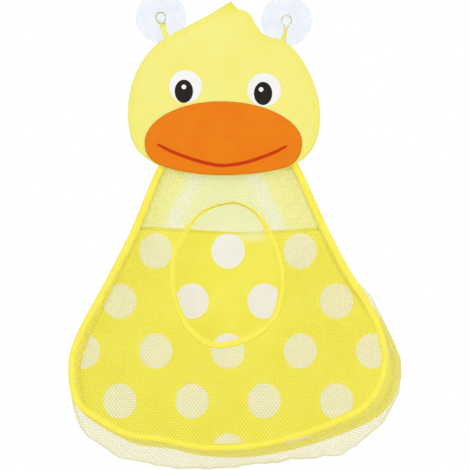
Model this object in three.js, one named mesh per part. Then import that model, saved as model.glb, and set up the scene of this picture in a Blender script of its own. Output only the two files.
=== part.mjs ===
import * as THREE from 'three';

// A duck-shaped bath toy bag that hangs from two suction cups. Lengths are in millimetres.
// X runs across the front, Y runs into the wall and Z runs up. The origin lies on the wall,
// midway between the axes of the two cups.

// Fits
const seatGap = 0.3; // between pieces that touch
const printGap = 0.1; // between a flat transfer and the fabric it is pressed on

// Suction cups
const cupSpacing = 113; // between the two cup axes
const cupRise = 2.7; // how much higher the left cup hangs
const cupDiameter = 45;
const cupLipWidth = 2; // the flat ring that seals on the wall
const cupLipThickness = 0.6;
const cupHollowDepth = 3.8;
const cupDomeHeight = 11.8; // from the wall to the neck
const cupNeckDiameter = 7;
const cupKnobDiameter = 10.5;
const cupKnobHeight = 4.2;

// Tape loops
const tapeWidth = 5;
const tapeThickness = 0.8;
const loopFootGap = 0.4; // between a loop's foot and the head's edge
const loopPivotRise = 1.6; // from the head's edge to the line that a loop folds about

// Head
const headHalfWidth = 86;
const headHeight = 156.4; // from the crest's tip to the chin
const crestTipZ = 15.8;
const headPanelThickness = 0.8;
const paddingThickness = 1.8;
const paddingInset = 6;
const turnedEdge = 3.2; // width of the rounded edge
const headFocusDrop = 91; // from the tip to the point that the edge rows shrink towards

// Face
const beakHalfWidth = 70.7;
const beakHalfHeight = 32.7;
const beakCentreX = -0.3;
const beakCentreZ = -106.8;
const beakThickness = 0.6;
const smileHalfWidth = 57.3;
const smileCentreX = -1.4;
const smileEndZ = -113.5;
const smileDrop = 18.4;
const smileWidth = 2.8;
const smileThickness = 0.3;
const eyeThickness = 0.3;
const pupilThickness = 0.2;
const glintThickness = 0.1;
const pupilWidth = 16.4;
const pupilHeight = 20.8;
const glintDiameter = 4.2;
const eyes = {
  left: { x: -34.4, z: -60.8, diameter: 29.7, lookX: -1.4, lookZ: -4.2, glintX: 0, glintZ: 3.9 },
  right: { x: 36.2, z: -63.8, diameter: 30.4, lookX: -0.9, lookZ: -3.2, glintX: -1.8, glintZ: 3.6 },
};

// Pouch
const neckZ = -125.5; // top edge of the pouch, behind the head
const neckSlack = 3.3; // room behind the head for the front panel's slope
const pouchCentreX = 5; // the pouch hangs a little to the right
const frontHalfWidth = 141.8;
const frontLength = 271; // along the sloping front panel
const pouchDepth = 78; // how far the front's bottom stands out from its top
const backHalfWidth = 147.8;
const backHeight = 268;
const backShift = 8; // how far the filled pouch leans its back to the right at the bottom
const frontBulge = 10; // how far the front mesh bellies out at the mouth's lower edge
const gussetSag = 13; // how far the gusset bellies out below and to the right of the bindings
const gussetTop = 8; // where the gusset starts below the pouch's top edge
const yokeSeamZ = -192;
const fabricThickness = 0.6;
const meshBar = 4.4; // width of the bars between the openings of the meshes

// Bindings and hoops
const bindingWidth = 6.5;
const bindingTape = 0.6;
const hoopDiameter = 1.5;
const mouthHalfWidth = 51;
const mouthHalfHeight = 69.6;
const mouthCentreX = 3;
const mouthDrop = 110; // from the pouch's top edge to the mouth's centre, along the front
const mouthBindingWidth = 5;

// Worked-out places
const hangY = -(cupDomeHeight + seatGap + tapeWidth / 2);
const headHalfDepth = paddingThickness / 2 + seatGap + headPanelThickness;
const headFrontY = hangY - headHalfDepth;
const hoopSlot = hoopDiameter + 2 * seatGap;
const meshSlot = fabricThickness + 2 * seatGap;
const bindingHalfDepth = (2 * fabricThickness + 3 * seatGap) / 2 + bindingTape;
const frontHingeY = hangY + headHalfDepth + seatGap + bindingHalfDepth + neckSlack;
const backY = frontHingeY + 2 * bindingHalfDepth + seatGap;
const frontTilt = Math.asin(pouchDepth / frontLength);
const panelEdge = bindingTape + hoopSlot; // panels stop short of the hoop in the fold

// Outlines in shares, from the middle of the top edge down the left side and back up the right.
// The first is the share of the half width, the second the share of the height.
const pouchShares = [
  [0, 0.018], [-0.33, 0.01], [-0.425, 0.006], [-0.455, 0.03], [-0.63, 0.266], [-0.785, 0.43],
  [-0.948, 0.606], [-1, 0.7], [-0.965, 0.837], [-0.85, 0.895], [-0.63, 0.957], [-0.43, 0.972],
  [-0.2, 0.998], [0.07, 1], [0.365, 0.97], [0.7, 0.907], [0.85, 0.862], [0.95, 0.795], [1, 0.69],
  [0.962, 0.582], [0.885, 0.491], [0.77, 0.394], [0.648, 0.266], [0.46, 0.03], [0.43, 0.006],
  [0.335, 0.01],
];
const mouthShares = [
  [0.12, 1], [-0.4, 0.893], [-0.667, 0.706], [-0.947, 0.33], [-1, -0.046], [-0.947, -0.355],
  [-0.632, -0.812], [-0.19, -1], [0.44, -0.879], [0.877, -0.57], [1, -0.087], [0.947, 0.263],
  [0.72, 0.666], [0.44, 0.905],
];
// Curves of the head: one pair is a straight line, three pairs are a cubic curve.
const headStartShare = [0.076, 0];
const headCurveShares = [
  [[-0.552, 0.195]],
  [[-0.8, 0.272], [-1, 0.45], [-1, 0.64]],
  [[-1, 0.76], [-0.93, 0.832], [-0.8, 0.885]],
  [[-0.66, 0.965], [-0.35, 1], [-0.02, 1]],
  [[0.35, 1], [0.66, 0.965], [0.8, 0.9]],
  [[0.93, 0.842], [1, 0.77], [1, 0.65]],
  [[1, 0.45], [0.74, 0.19], [0.526, 0.219]],
  [[0.42, 0.215], [0.35, 0.15], [0.295, 0.086]],
  [[0.255, 0.05], [0.16, 0.04], [0.076, 0]],
];
const beakStartShare = [-1, -0.133];
const beakCurveShares = [
  [[-1, -0.38], [-0.93, -0.6], [-0.83, -0.69]],
  [[-0.68, -0.84], [-0.36, -1], [-0.02, -1]],
  [[0.32, -1], [0.68, -0.87], [0.83, -0.75]],
  [[0.93, -0.66], [1, -0.42], [1, -0.133]],
  [[1, 0.45], [0.55, 1], [-0.03, 1]],
  [[-0.6, 1], [-1, 0.45], [-1, -0.133]],
];
const smileShares = [
  [-1, 0.03], [-0.55, -0.57], [-0.22, -0.95], [0.04, -1], [0.3, -0.94], [0.62, -0.56], [1, -0.05],
];
const smileWidthShares = [0.6, 0.85, 1, 1, 0.95, 0.85, 0.55];
// The cup's wall: shares of the width between neck and lip, and of the height.
const domeShares = [[0.85, 0.09], [0.62, 0.28], [0.4, 0.5], [0.22, 0.68], [0.1, 0.8], [0.03, 0.91]];
const hollowShares = [[1, 0], [0.8, 0.3], [0.6, 0.56], [0.4, 0.78], [0.2, 0.94], [0, 1]];
const knobShares = [[1, 0.12], [1, 0.45], [0.88, 0.75], [0.6, 0.94], [0, 1]];
// The head's rounded edge: shares of the turned edge's width and of the panel's half depth.
const edgeOuterShares = [[1, 1], [0.5, 0.9], [0.19, 0.57], [0, 0.08]];
const edgeInnerShares = [[0.25, 0.08], [0.42, 0.3], [1, 0.6]];

// Places along a strip or a span, as shares of its length.
const loopFootShares = { left: -0.584, right: 0.609 }; // of the head's half width, along its edge
const loopTurnShare = 0.75; // where a loop's plies have turned edge-on
const loopOpenShare = 0.2; // where they start to part
const meshSpanShares = [0.333, 0.667]; // rows of the front mesh from its binding to its mouth
const gussetSpanShares = [0.12, 0.37, 0.63, 0.88]; // rows of the gusset from front to back
const openRoomShare = 2; // an opening needs a cell this many bars wide and high
const gussetClearShare = 0.4; // most of the depth that either end of the gusset runs straight back
const gussetFullShares = [0.55, 0.9]; // down the pouch, where its belly starts and is full
const gussetLeanShares = [-1, -0.2]; // sideways facing at which the belly starts and is full
const slackReachShare = 4; // binding widths of depth over which the upper gusset slackens

// Facets
const outlineCount = 52;
const headCount = 56;
const curveSteps = 7;
const roundSteps = 12;
const ringSides = 5;
const cupSides = 24;

const group = new THREE.Group();

function material(color, roughness, opacity = 1) {
  const transparent = opacity < 1;
  return new THREE.MeshStandardMaterial({ color, roughness, metalness: 0, opacity, transparent });
}
const satin = material(0xf5ee78, 0.55);
const orange = material(0xed8021, 0.5);
const red = material(0xd03c0a, 0.5);
const white = material(0xf7f5ed, 0.5);
const black = material(0x26211f, 0.45);
const mesh = material(0xf7e84a, 0.8);
const tape = material(0xfcee50, 0.7);
const yokeFabric = material(0xecf2c3, 0.6);
const panelFabric = material(0xf0e64b, 0.7);
const foam = material(0xf2f0e8, 0.9);
const steel = material(0xb8bbbf, 0.35);
const clear = material(0xe8eef2, 0.1, 0.5);

function node(name, geometry, look, parent = group) {
  const made = new THREE.Mesh(geometry, look.clone());
  made.name = name;
  parent.add(made);
  return made;
}

// The same surface with its faces pointing out.
function facingOut(geometry) {
  const at = geometry.getAttribute('position');
  const index = geometry.index ? [...geometry.index.array] : [...Array(at.count).keys()];
  const [a, b, c] = [new THREE.Vector3(), new THREE.Vector3(), new THREE.Vector3()];
  let volume = 0;
  for (let i = 0; i < index.length; i += 3) {
    a.fromBufferAttribute(at, index[i]);
    b.fromBufferAttribute(at, index[i + 1]);
    c.fromBufferAttribute(at, index[i + 2]);
    volume += a.dot(b.cross(c));
  }
  if (volume < 0) index.reverse();
  geometry.setIndex(index);
  return geometry;
}

function surface(points, index) {
  const made = new THREE.BufferGeometry();
  const flat = points.flatMap((p) => p.toArray());
  made.setAttribute('position', new THREE.Float32BufferAttribute(flat, 3));
  made.setIndex(index);
  return facingOut(made);
}

// Quads between rows of points. Each row is a closed loop; a ring joins its last row to its first.
function quads(rows, ring) {
  const count = rows[0].length;
  const index = [];
  const last = ring ? rows.length : rows.length - 1;
  for (let i = 0; i < last; i += 1) {
    const here = i * count;
    const next = ((i + 1) % rows.length) * count;
    for (let j = 0; j < count; j += 1) {
      const k = (j + 1) % count;
      index.push(here + j, next + j, next + k, here + j, next + k, here + k);
    }
  }
  return index;
}

function ringSolid(rows) {
  return surface(rows.flat(), quads(rows, true));
}

// A strip whose rows list one face's points and then the other face's in reverse.
function stripSolid(rows) {
  const count = rows[0].length;
  const index = quads(rows, false);
  const end = (rows.length - 1) * count;
  for (let j = 0; j < count / 2 - 1; j += 1) {
    const [a, b] = [count - 1 - j, count - 2 - j];
    index.push(j, j + 1, b, j, b, a);
    index.push(end + b, end + j + 1, end + j, end + a, end + b, end + j);
  }
  return surface(rows.flat(), index);
}

// A sheet from rows of point pairs, one point on each face. In the listed spans, every two steps
// along the rows share an opening with bars round it, wherever there is room for one.
function openSheet(rows, openSpans, ring) {
  const [count, width] = [rows.length, rows[0].length];
  const steps = ring ? count : count - 1;
  const points = rows.flat(2);
  const index = [];
  const at = (i, j) => 2 * ((i % count) * width + j);
  const both = (a, b, c) => index.push(a, b, c, c + 1, b + 1, a + 1);
  const wall = (a, b) => index.push(a, b, b + 1, a, b + 1, a + 1);
  const plain = (i, j) => {
    both(at(i, j), at(i + 1, j), at(i + 1, j + 1));
    both(at(i, j), at(i + 1, j + 1), at(i, j + 1));
  };
  const addCorner = (low, high, along, across) => {
    const near = Math.floor(2 * along);
    const edge = (line, face) => (
      points[line[near] + face].clone().lerp(points[line[near + 1] + face], 2 * along - near));
    const made = [0, 1].map((face) => edge(low, face).lerp(edge(high, face), across));
    points.push(...made);
    return points.length - 2;
  };
  const opening = (i, j) => {
    const [low, high] = [j, j + 1].map((line) => [0, 1, 2].map((step) => at(i + step, line)));
    const long = Math.min(...[low, high].map((line) => points[line[0]].distanceTo(points[line[2]])));
    const wide = Math.min(...[0, 2].map((end) => points[low[end]].distanceTo(points[high[end]])));
    if (Math.min(long, wide) < openRoomShare * meshBar) {
      [i, i + 1].forEach((step) => plain(step, j));
      return;
    }
    const [along, across] = [meshBar / 2 / long, meshBar / 2 / wide];
    const a = addCorner(low, high, along, across);
    const b = addCorner(low, high, 1 - along, across);
    const c = addCorner(low, high, 1 - along, 1 - across);
    const d = addCorner(low, high, along, 1 - across);
    both(low[0], low[1], a);
    both(low[1], b, a);
    both(low[1], low[2], b);
    both(low[2], high[2], c);
    both(low[2], c, b);
    both(high[2], high[1], c);
    both(high[1], d, c);
    both(high[1], high[0], d);
    both(high[0], low[0], a);
    both(high[0], a, d);
    [[a, b], [b, c], [c, d], [d, a]].forEach((side) => wall(...side));
  };
  for (let j = 0; j < width - 1; j += 1) {
    for (let i = 0; i < steps; i += 2) {
      const paired = i + 1 < steps;
      if (paired && openSpans.includes(j)) opening(i, j);
      else [i, i + 1].slice(0, paired ? 2 : 1).forEach((step) => plain(step, j));
    }
  }
  for (let i = 0; i < steps; i += 1) {
    wall(at(i + 1, 0), at(i, 0));
    wall(at(i, width - 1), at(i + 1, width - 1));
  }
  for (let j = 0; j < width - 1 && !ring; j += 1) {
    wall(at(0, j), at(0, j + 1));
    wall(at(steps, j + 1), at(steps, j));
  }
  return surface(points, index);
}

// A stack of anticlockwise loops in X and Z with a flat cap on its first and its last loop.
function cappedSolid(loops) {
  const count = loops[0].length;
  const index = quads(loops, false);
  const end = (loops.length - 1) * count;
  const flatten = (loop) => loop.map((p) => new THREE.Vector2(p.x, p.z));
  const first = THREE.ShapeUtils.triangulateShape(flatten(loops[0]), []);
  const last = THREE.ShapeUtils.triangulateShape(flatten(loops.at(-1)), []);
  first.forEach(([a, b, c]) => index.push(a, b, c));
  last.forEach(([a, b, c]) => index.push(end + c, end + b, end + a));
  return surface(loops.flat(), index);
}

// A flat sheet from a shape drawn in X and Z, with its back face at a given Y.
function sheet(shape, thickness, backFaceY, steps = curveSteps) {
  const options = { depth: thickness, bevelEnabled: false, curveSegments: steps };
  const made = new THREE.ExtrudeGeometry(shape, options);
  made.rotateX(Math.PI / 2);
  made.translate(0, backFaceY, 0);
  return made;
}

function curvedShape(startShare, curveShares, place) {
  const shape = new THREE.Shape();
  shape.moveTo(...place(startShare));
  curveShares.forEach((curve) => {
    const points = curve.flatMap(place);
    if (curve.length === 1) shape.lineTo(...points);
    else shape.bezierCurveTo(...points);
  });
  return shape;
}

// Points on a closed smooth outline, each with its outward direction.
function smoothOutline(points, count) {
  const curve = new THREE.CatmullRomCurve3(points, true, 'centripetal');
  return Array.from({ length: count }, (_, i) => {
    const along = curve.getTangentAt(i / count);
    const out = new THREE.Vector3(along.z, 0, -along.x).normalize();
    return { at: curve.getPointAt(i / count), out };
  });
}

// The point that lies a given way out from an outline's point and a given way back.
function off(sample, out, back) {
  const made = sample.at.clone().addScaledVector(sample.out, out);
  made.y += back;
  return made;
}

function pouchOutline(halfWidth, height, shift) {
  const points = pouchShares.map(([across, down]) => new THREE.Vector3(
    pouchCentreX + across * halfWidth + shift * down, 0, -down * height));
  return smoothOutline(points, outlineCount);
}

// Suction cups
function cupGeometry() {
  const neck = cupNeckDiameter / 2;
  const lip = cupDiameter / 2;
  const hollow = hollowShares.map(([out, deep]) => [out * (lip - cupLipWidth), deep * cupHollowDepth]);
  const rise = cupDomeHeight - cupLipThickness;
  const dome = domeShares.map(([out, up]) => [neck + out * (lip - neck), cupLipThickness + up * rise]);
  const knobStart = cupDomeHeight + tapeWidth + 2 * seatGap;
  const knob = knobShares.map(([out, up]) => [out * cupKnobDiameter / 2, knobStart + up * cupKnobHeight]);
  const profile = [
    ...hollow.reverse(), [lip, 0], [lip, cupLipThickness], ...dome,
    [neck, cupDomeHeight], [neck, knobStart], ...knob,
  ].map(([radius, height]) => new THREE.Vector2(radius, -height));
  return facingOut(new THREE.LatheGeometry(profile, cupSides));
}

// Head
function headPlace([across, down]) {
  return [across * headHalfWidth, crestTipZ - down * headHeight];
}

const headOutline = (() => {
  const points = curvedShape(headStartShare, headCurveShares, headPlace).getSpacedPoints(headCount);
  return points.slice(0, headCount).map((p) => new THREE.Vector3(p.x, hangY, p.y));
})();

// The head's outline drawn in by a given inset, at a given Y.
function headLoop(inset, y) {
  const focus = new THREE.Vector3(0, hangY, crestTipZ - headFocusDrop);
  return headOutline.map((p) => {
    const moved = p.clone().lerp(focus, inset / headHalfWidth);
    moved.y = y;
    return moved;
  });
}

// One side of the head: a shallow tray whose edge rounds back to the seam.
function headPanel(side) {
  const loops = [...edgeOuterShares, ...edgeInnerShares].map(([across, deep]) => (
    headLoop(across * turnedEdge, hangY + side * deep * headHalfDepth)));
  return cappedSolid(loops);
}

function headPadding() {
  const points = headLoop(paddingInset, 0).map((p) => new THREE.Vector2(p.x, p.z));
  return sheet(new THREE.Shape(points), paddingThickness, hangY + paddingThickness / 2);
}

// The point of the head's upper edge at a given X, with the directions along and out of the edge.
function headEdgeAt(x) {
  const upper = headOutline.filter((p) => p.z > crestTipZ - headFocusDrop);
  const order = upper.sort((a, b) => a.x - b.x);
  const right = order.findIndex((p) => p.x > x);
  const [a, b] = [order[right - 1], order[right]];
  const along = b.clone().sub(a).normalize();
  const at = a.clone().lerp(b, (x - a.x) / (b.x - a.x));
  return { at, along, out: new THREE.Vector3(-along.z, 0, along.x) };
}

// Face
function oval(x, z, width, height, thickness, backFaceY) {
  const shape = new THREE.Shape();
  shape.absellipse(x, z, width / 2, height / 2, 0, 2 * Math.PI);
  return sheet(shape, thickness, backFaceY, roundSteps);
}

function addEye(side, eye) {
  const pupilX = eye.x + eye.lookX;
  const pupilZ = eye.z + eye.lookZ;
  const whiteBack = headFrontY - printGap;
  const pupilBack = whiteBack - eyeThickness - printGap;
  const glintBack = pupilBack - pupilThickness - printGap;
  const glintX = pupilX + eye.glintX;
  const glintZ = pupilZ + eye.glintZ;
  const [eyeWhite, pupil, glint] = [
    oval(eye.x, eye.z, eye.diameter, eye.diameter, eyeThickness, whiteBack),
    oval(pupilX, pupilZ, pupilWidth, pupilHeight, pupilThickness, pupilBack),
    oval(glintX, glintZ, glintDiameter, glintDiameter, glintThickness, glintBack),
  ];
  node(`eye_white_${side}`, eyeWhite, white);
  node(`pupil_${side}`, pupil, black);
  node(`glint_${side}`, glint, white);
}

const beakBackY = headFrontY - eyeThickness - 2 * printGap;

function beak() {
  const place = ([across, up]) => [beakCentreX + across * beakHalfWidth, beakCentreZ + up * beakHalfHeight];
  return sheet(curvedShape(beakStartShare, beakCurveShares, place), beakThickness, beakBackY);
}

// The smile line: a flat strip that thins towards its ends.
function smile() {
  const points = smileShares.map(([across, up]) => new THREE.Vector3(
    smileCentreX + across * smileHalfWidth, 0, smileEndZ + up * smileDrop));
  const curve = new THREE.CatmullRomCurve3(points);
  const widths = new THREE.CatmullRomCurve3(smileWidthShares.map((w, i) => new THREE.Vector3(i, w, 0)));
  const backY = beakBackY - beakThickness - printGap;
  const count = 4 * curveSteps;
  const rows = Array.from({ length: count + 1 }, (_, i) => {
    const at = curve.getPoint(i / count);
    const along = curve.getTangent(i / count);
    const half = widths.getPoint(i / count).y * smileWidth / 2;
    const across = new THREE.Vector3(-along.z, 0, along.x).normalize().multiplyScalar(half);
    const [upper, lower] = [at.clone().add(across), at.clone().sub(across)];
    const place = (p, y) => new THREE.Vector3(p.x, y, p.z);
    return [
      place(upper, backY), place(lower, backY),
      place(lower, backY - smileThickness), place(upper, backY - smileThickness),
    ];
  });
  return stripSolid(rows);
}

// A tape loop: both ends lie flat on each other at the head's edge, and the pair turns on its way
// up so that the loop opens round the cup's neck. The mesh sits at the line that it folds about.
function addLoop(side, footX, cup) {
  const edge = headEdgeAt(footX);
  const reach = cupNeckDiameter / 2 + seatGap + tapeThickness / 2;
  const closed = (tapeThickness + seatGap) / 2;
  const foot = edge.at.clone().addScaledVector(edge.out, loopFootGap);
  const top = new THREE.Vector3(cup.x, hangY, cup.z);
  const bend = foot.clone().addScaledVector(edge.out, foot.distanceTo(top) / 2);
  const middle = new THREE.QuadraticBezierCurve3(foot, bend, top);
  const depth = new THREE.Vector3(0, 1, 0);
  const plies = { path: [], width: [], normal: [] };
  const addPoint = (at, width, normal) => {
    plies.path.push(at);
    plies.width.push(width);
    plies.normal.push(normal);
  };
  const plyPoint = (share, sign) => {
    const along = middle.getTangent(share);
    const across = new THREE.Vector3(along.z, 0, -along.x);
    const turned = THREE.MathUtils.smoothstep(share, 0, loopTurnShare) * Math.PI / 2;
    const opened = THREE.MathUtils.smoothstep(share, loopOpenShare, 1);
    const [sine, cosine] = [Math.sin(turned), Math.cos(turned)];
    const normal = across.clone().multiplyScalar(sine).addScaledVector(depth, cosine);
    const width = across.clone().multiplyScalar(cosine).addScaledVector(depth, -sine);
    const open = THREE.MathUtils.lerp(closed, reach, opened);
    const at = middle.getPoint(share).addScaledVector(normal, sign * open);
    addPoint(at, width, normal.multiplyScalar(sign));
  };
  const steps = curveSteps;
  for (let i = 0; i < steps; i += 1) plyPoint(i / steps, 1);
  const up = middle.getTangent(1);
  const across = new THREE.Vector3(up.z, 0, -up.x);
  for (let i = 0; i <= steps; i += 1) {
    const turn = Math.PI * i / steps;
    const out = across.clone().multiplyScalar(Math.cos(turn)).addScaledVector(up, Math.sin(turn));
    addPoint(top.clone().addScaledVector(out, reach), depth.clone().negate(), out);
  }
  for (let i = steps - 1; i >= 0; i -= 1) plyPoint(i / steps, -1);
  const pivot = edge.at.clone().addScaledVector(edge.out, loopPivotRise);
  const rows = plies.path.map((at, i) => {
    const half = plies.width[i].clone().multiplyScalar(tapeWidth / 2);
    const thick = plies.normal[i].clone().multiplyScalar(tapeThickness / 2);
    const corner = (a, b) => at.clone().addScaledVector(half, a).addScaledVector(thick, b).sub(pivot);
    return [corner(-1, 1), corner(1, 1), corner(1, -1), corner(-1, -1)];
  });
  node(`hanging_loop_${side}`, stripSolid(rows), tape).position.copy(pivot);
}

// Pouch
const frontOutline = pouchOutline(frontHalfWidth, frontLength, 0);
const backOutline = pouchOutline(backHalfWidth, backHeight, backShift);
const mouthOutline = smoothOutline(mouthShares.map(([across, up]) => new THREE.Vector3(
  mouthCentreX + across * mouthHalfWidth, 0, -mouthDrop + up * mouthHalfHeight)), outlineCount);

// How far the front mesh bellies out at the mouth, beside each point of the front outline.
function bellyAt(i) {
  return frontBulge * (frontOutline[i].at.z / frontLength) ** 2;
}

// A tape folded over an edge: its fold lies at the outline, its legs run to one side of it.
function bindingSection(width, slot, side) {
  const half = slot / 2 + bindingTape;
  const round = bindingTape;
  return [
    [width, -half], [round, -half], [0, round - half], [0, half - round], [round, half], [width, half],
    [width, half - bindingTape], [bindingTape, half - bindingTape], [bindingTape, bindingTape - half],
    [width, bindingTape - half],
  ].map(([across, back]) => [side * across, back]);
}

const seamSlot = 2 * (bindingHalfDepth - bindingTape);

// A section carried round an outline, drawn forward at each point by what raise gives for it.
function sweptRing(outline, section, raise = () => 0) {
  const row = (sample, i) => section.map(([out, back]) => off(sample, out, back - raise(i)));
  return ringSolid(outline.map(row));
}

function hoop(outline) {
  const centre = -(bindingTape + seatGap + hoopDiameter / 2);
  const section = Array.from({ length: ringSides }, (_, i) => {
    const turn = 2 * Math.PI * i / ringSides;
    return [centre + Math.cos(turn) * hoopDiameter / 2, Math.sin(turn) * hoopDiameter / 2];
  });
  return sweptRing(outline, section);
}

// The mouth's hole edge: the outline holds the outer edge of its binding.
function mouthEdge() {
  return mouthOutline.map((sample) => ({ at: off(sample, -mouthBindingWidth, 0), out: sample.out }));
}

// The front mesh: a sheet between the front binding's slot and the mouth binding's slot, with a
// grid of openings between the two bindings.
function frontMesh() {
  const layer = -(fabricThickness + seatGap) / 2;
  const rows = frontOutline.map((sample, i) => {
    const hole = mouthOutline[i];
    const belly = bellyAt(i);
    const outer = off(sample, -(bindingWidth + seatGap), layer);
    const inner = off(hole, seatGap, 0);
    const between = meshSpanShares.map((share) => {
      const made = outer.clone().lerp(inner, share);
      made.y = layer * (1 - share) - belly * (1 - (1 - share) ** 2);
      return made;
    });
    inner.y -= belly;
    const path = [
      off(sample, -panelEdge, layer), outer, ...between, inner,
      off(hole, bindingTape + seatGap - mouthBindingWidth, -belly),
    ];
    const half = new THREE.Vector3(0, fabricThickness / 2, 0);
    return path.map((p) => [p.clone().sub(half), p.clone().add(half)]);
  });
  const openSpans = [...meshSpanShares.keys(), meshSpanShares.length].map((span) => span + 1);
  return openSheet(rows, openSpans, true);
}

// The middle line of the gusset across one place: out of the front binding, round behind its leg,
// out in a belly, and into the back binding. Three points lead to the belly at either end.
function gussetPath(i, toPouch) {
  const [front, back] = [frontOutline[i], backOutline[i]];
  const layer = (fabricThickness + seatGap) / 2;
  const inside = -(bindingWidth + 2 * seatGap + fabricThickness / 2);
  const frontAt = (out, deep) => toPouch(off(front, out, deep));
  const backAt = (out, deep) => off(back, out, deep).add(new THREE.Vector3(0, backY, neckZ));
  const space = frontAt(inside, layer).distanceTo(backAt(inside, -layer));
  const leg = bindingHalfDepth + seatGap + fabricThickness - layer;
  const clear = Math.min(leg, gussetClearShare * space);
  const [start, end] = [frontAt(inside, layer + clear), backAt(inside, -layer - clear)];
  const down = -front.at.z / frontLength;
  const full = THREE.MathUtils.smoothstep(down, ...gussetFullShares);
  const out = front.out.clone().add(back.out).normalize();
  const sag = gussetSag * THREE.MathUtils.smoothstep(out.x, ...gussetLeanShares);
  const slack = -inside / 2 * (1 - Math.exp(-space / (slackReachShare * bindingWidth)));
  const belly = THREE.MathUtils.lerp(slack, sag - inside, full);
  const between = gussetSpanShares.map((share) => (
    start.clone().lerp(end, share).addScaledVector(out, belly * (1 - (2 * share - 1) ** 2))));
  return [
    frontAt(-panelEdge, layer), frontAt(inside, layer), start, ...between, end,
    backAt(inside, -layer), backAt(-panelEdge, -layer),
  ];
}

function gusset(toPouch) {
  const kept = [...frontOutline.keys()].filter((i) => frontOutline[i].at.z < -gussetTop);
  const paths = kept.map((i) => gussetPath(i, toPouch));
  const rows = paths.map((path, i) => {
    const [before, after] = [paths[Math.max(i - 1, 0)], paths[Math.min(i + 1, paths.length - 1)]];
    return path.map((p, j) => {
      const along = path[Math.min(j + 1, path.length - 1)].clone().sub(path[Math.max(j - 1, 0)]);
      const round = after[j].clone().sub(before[j]);
      const half = round.cross(along).normalize().multiplyScalar(fabricThickness / 2);
      return [p.clone().add(half), p.clone().sub(half)];
    });
  });
  const firstSpan = (paths[0].length - gussetSpanShares.length) / 2;
  const openSpans = [...gussetSpanShares.keys()].slice(0, -1).map((span) => span + firstSpan);
  return openSheet(rows, openSpans, false);
}

// The part of the back panel between two heights, as a shape in X and Z.
function backShape(low, high) {
  const edge = backOutline.map((sample) => off(sample, -panelEdge, 0));
  const points = edge.map((p) => new THREE.Vector2(p.x, p.z + neckZ));
  const kept = [];
  points.forEach((p, i) => {
    const q = points[(i + 1) % points.length];
    if (p.y >= low && p.y <= high) kept.push(p);
    [low, high].filter((level) => (p.y - level) * (q.y - level) < 0).forEach((level) => {
      kept.push(p.clone().lerp(q, (level - p.y) / (q.y - p.y)));
    });
  });
  return new THREE.Shape(kept);
}

function addHead() {
  node('head_front_panel', headPanel(-1), satin);
  node('head_back_panel', headPanel(1), satin);
  node('head_padding', headPadding(), foam);
  Object.entries(eyes).forEach(([side, eye]) => addEye(side, eye));
  node('beak', beak(), orange);
  node('smile', smile(), red);
}

function addCupsAndLoops() {
  const places = {
    left: { x: -cupSpacing / 2, z: cupRise / 2 },
    right: { x: cupSpacing / 2, z: -cupRise / 2 },
  };
  Object.entries(places).forEach(([side, place]) => {
    node(`suction_cup_${side}`, cupGeometry(), clear).position.set(place.x, 0, place.z);
    addLoop(side, loopFootShares[side] * headHalfWidth, place);
  });
}

function addFront() {
  const front = new THREE.Group();
  front.position.set(0, frontHingeY, neckZ);
  front.rotation.x = -frontTilt;
  group.add(front);
  front.updateMatrixWorld(true);
  node('front_mesh', frontMesh(), mesh, front);
  node('front_binding', sweptRing(frontOutline, bindingSection(bindingWidth, seamSlot, -1)), tape, front);
  node('front_hoop', hoop(frontOutline), steel, front);
  const mouthSection = bindingSection(mouthBindingWidth, meshSlot, 1);
  node('mouth_binding', sweptRing(mouthEdge(), mouthSection, bellyAt), tape, front);
  return (point) => point.applyMatrix4(front.matrixWorld);
}

function addBack() {
  const back = new THREE.Group();
  back.position.set(0, backY, neckZ);
  group.add(back);
  node('back_binding', sweptRing(backOutline, bindingSection(bindingWidth, seamSlot, -1)), tape, back);
  node('back_hoop', hoop(backOutline), steel, back);
  const faceY = backY + seatGap / 2 + fabricThickness;
  const yoke = backShape(yokeSeamZ + seatGap / 2, neckZ);
  const panel = backShape(neckZ - backHeight, yokeSeamZ - seatGap / 2);
  node('back_yoke', sheet(yoke, fabricThickness, faceY), yokeFabric);
  node('back_panel', sheet(panel, fabricThickness, faceY), panelFabric);
}

addHead();
addCupsAndLoops();
const toPouch = addFront();
addBack();
node('gusset', gusset(toPouch), mesh);

export default group;
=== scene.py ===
import math

import bpy
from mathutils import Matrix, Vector, noise
from mathutils.bvhtree import BVHTree
from mathutils.geometry import delaunay_2d_cdt
from mathutils.kdtree import KDTree


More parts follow.
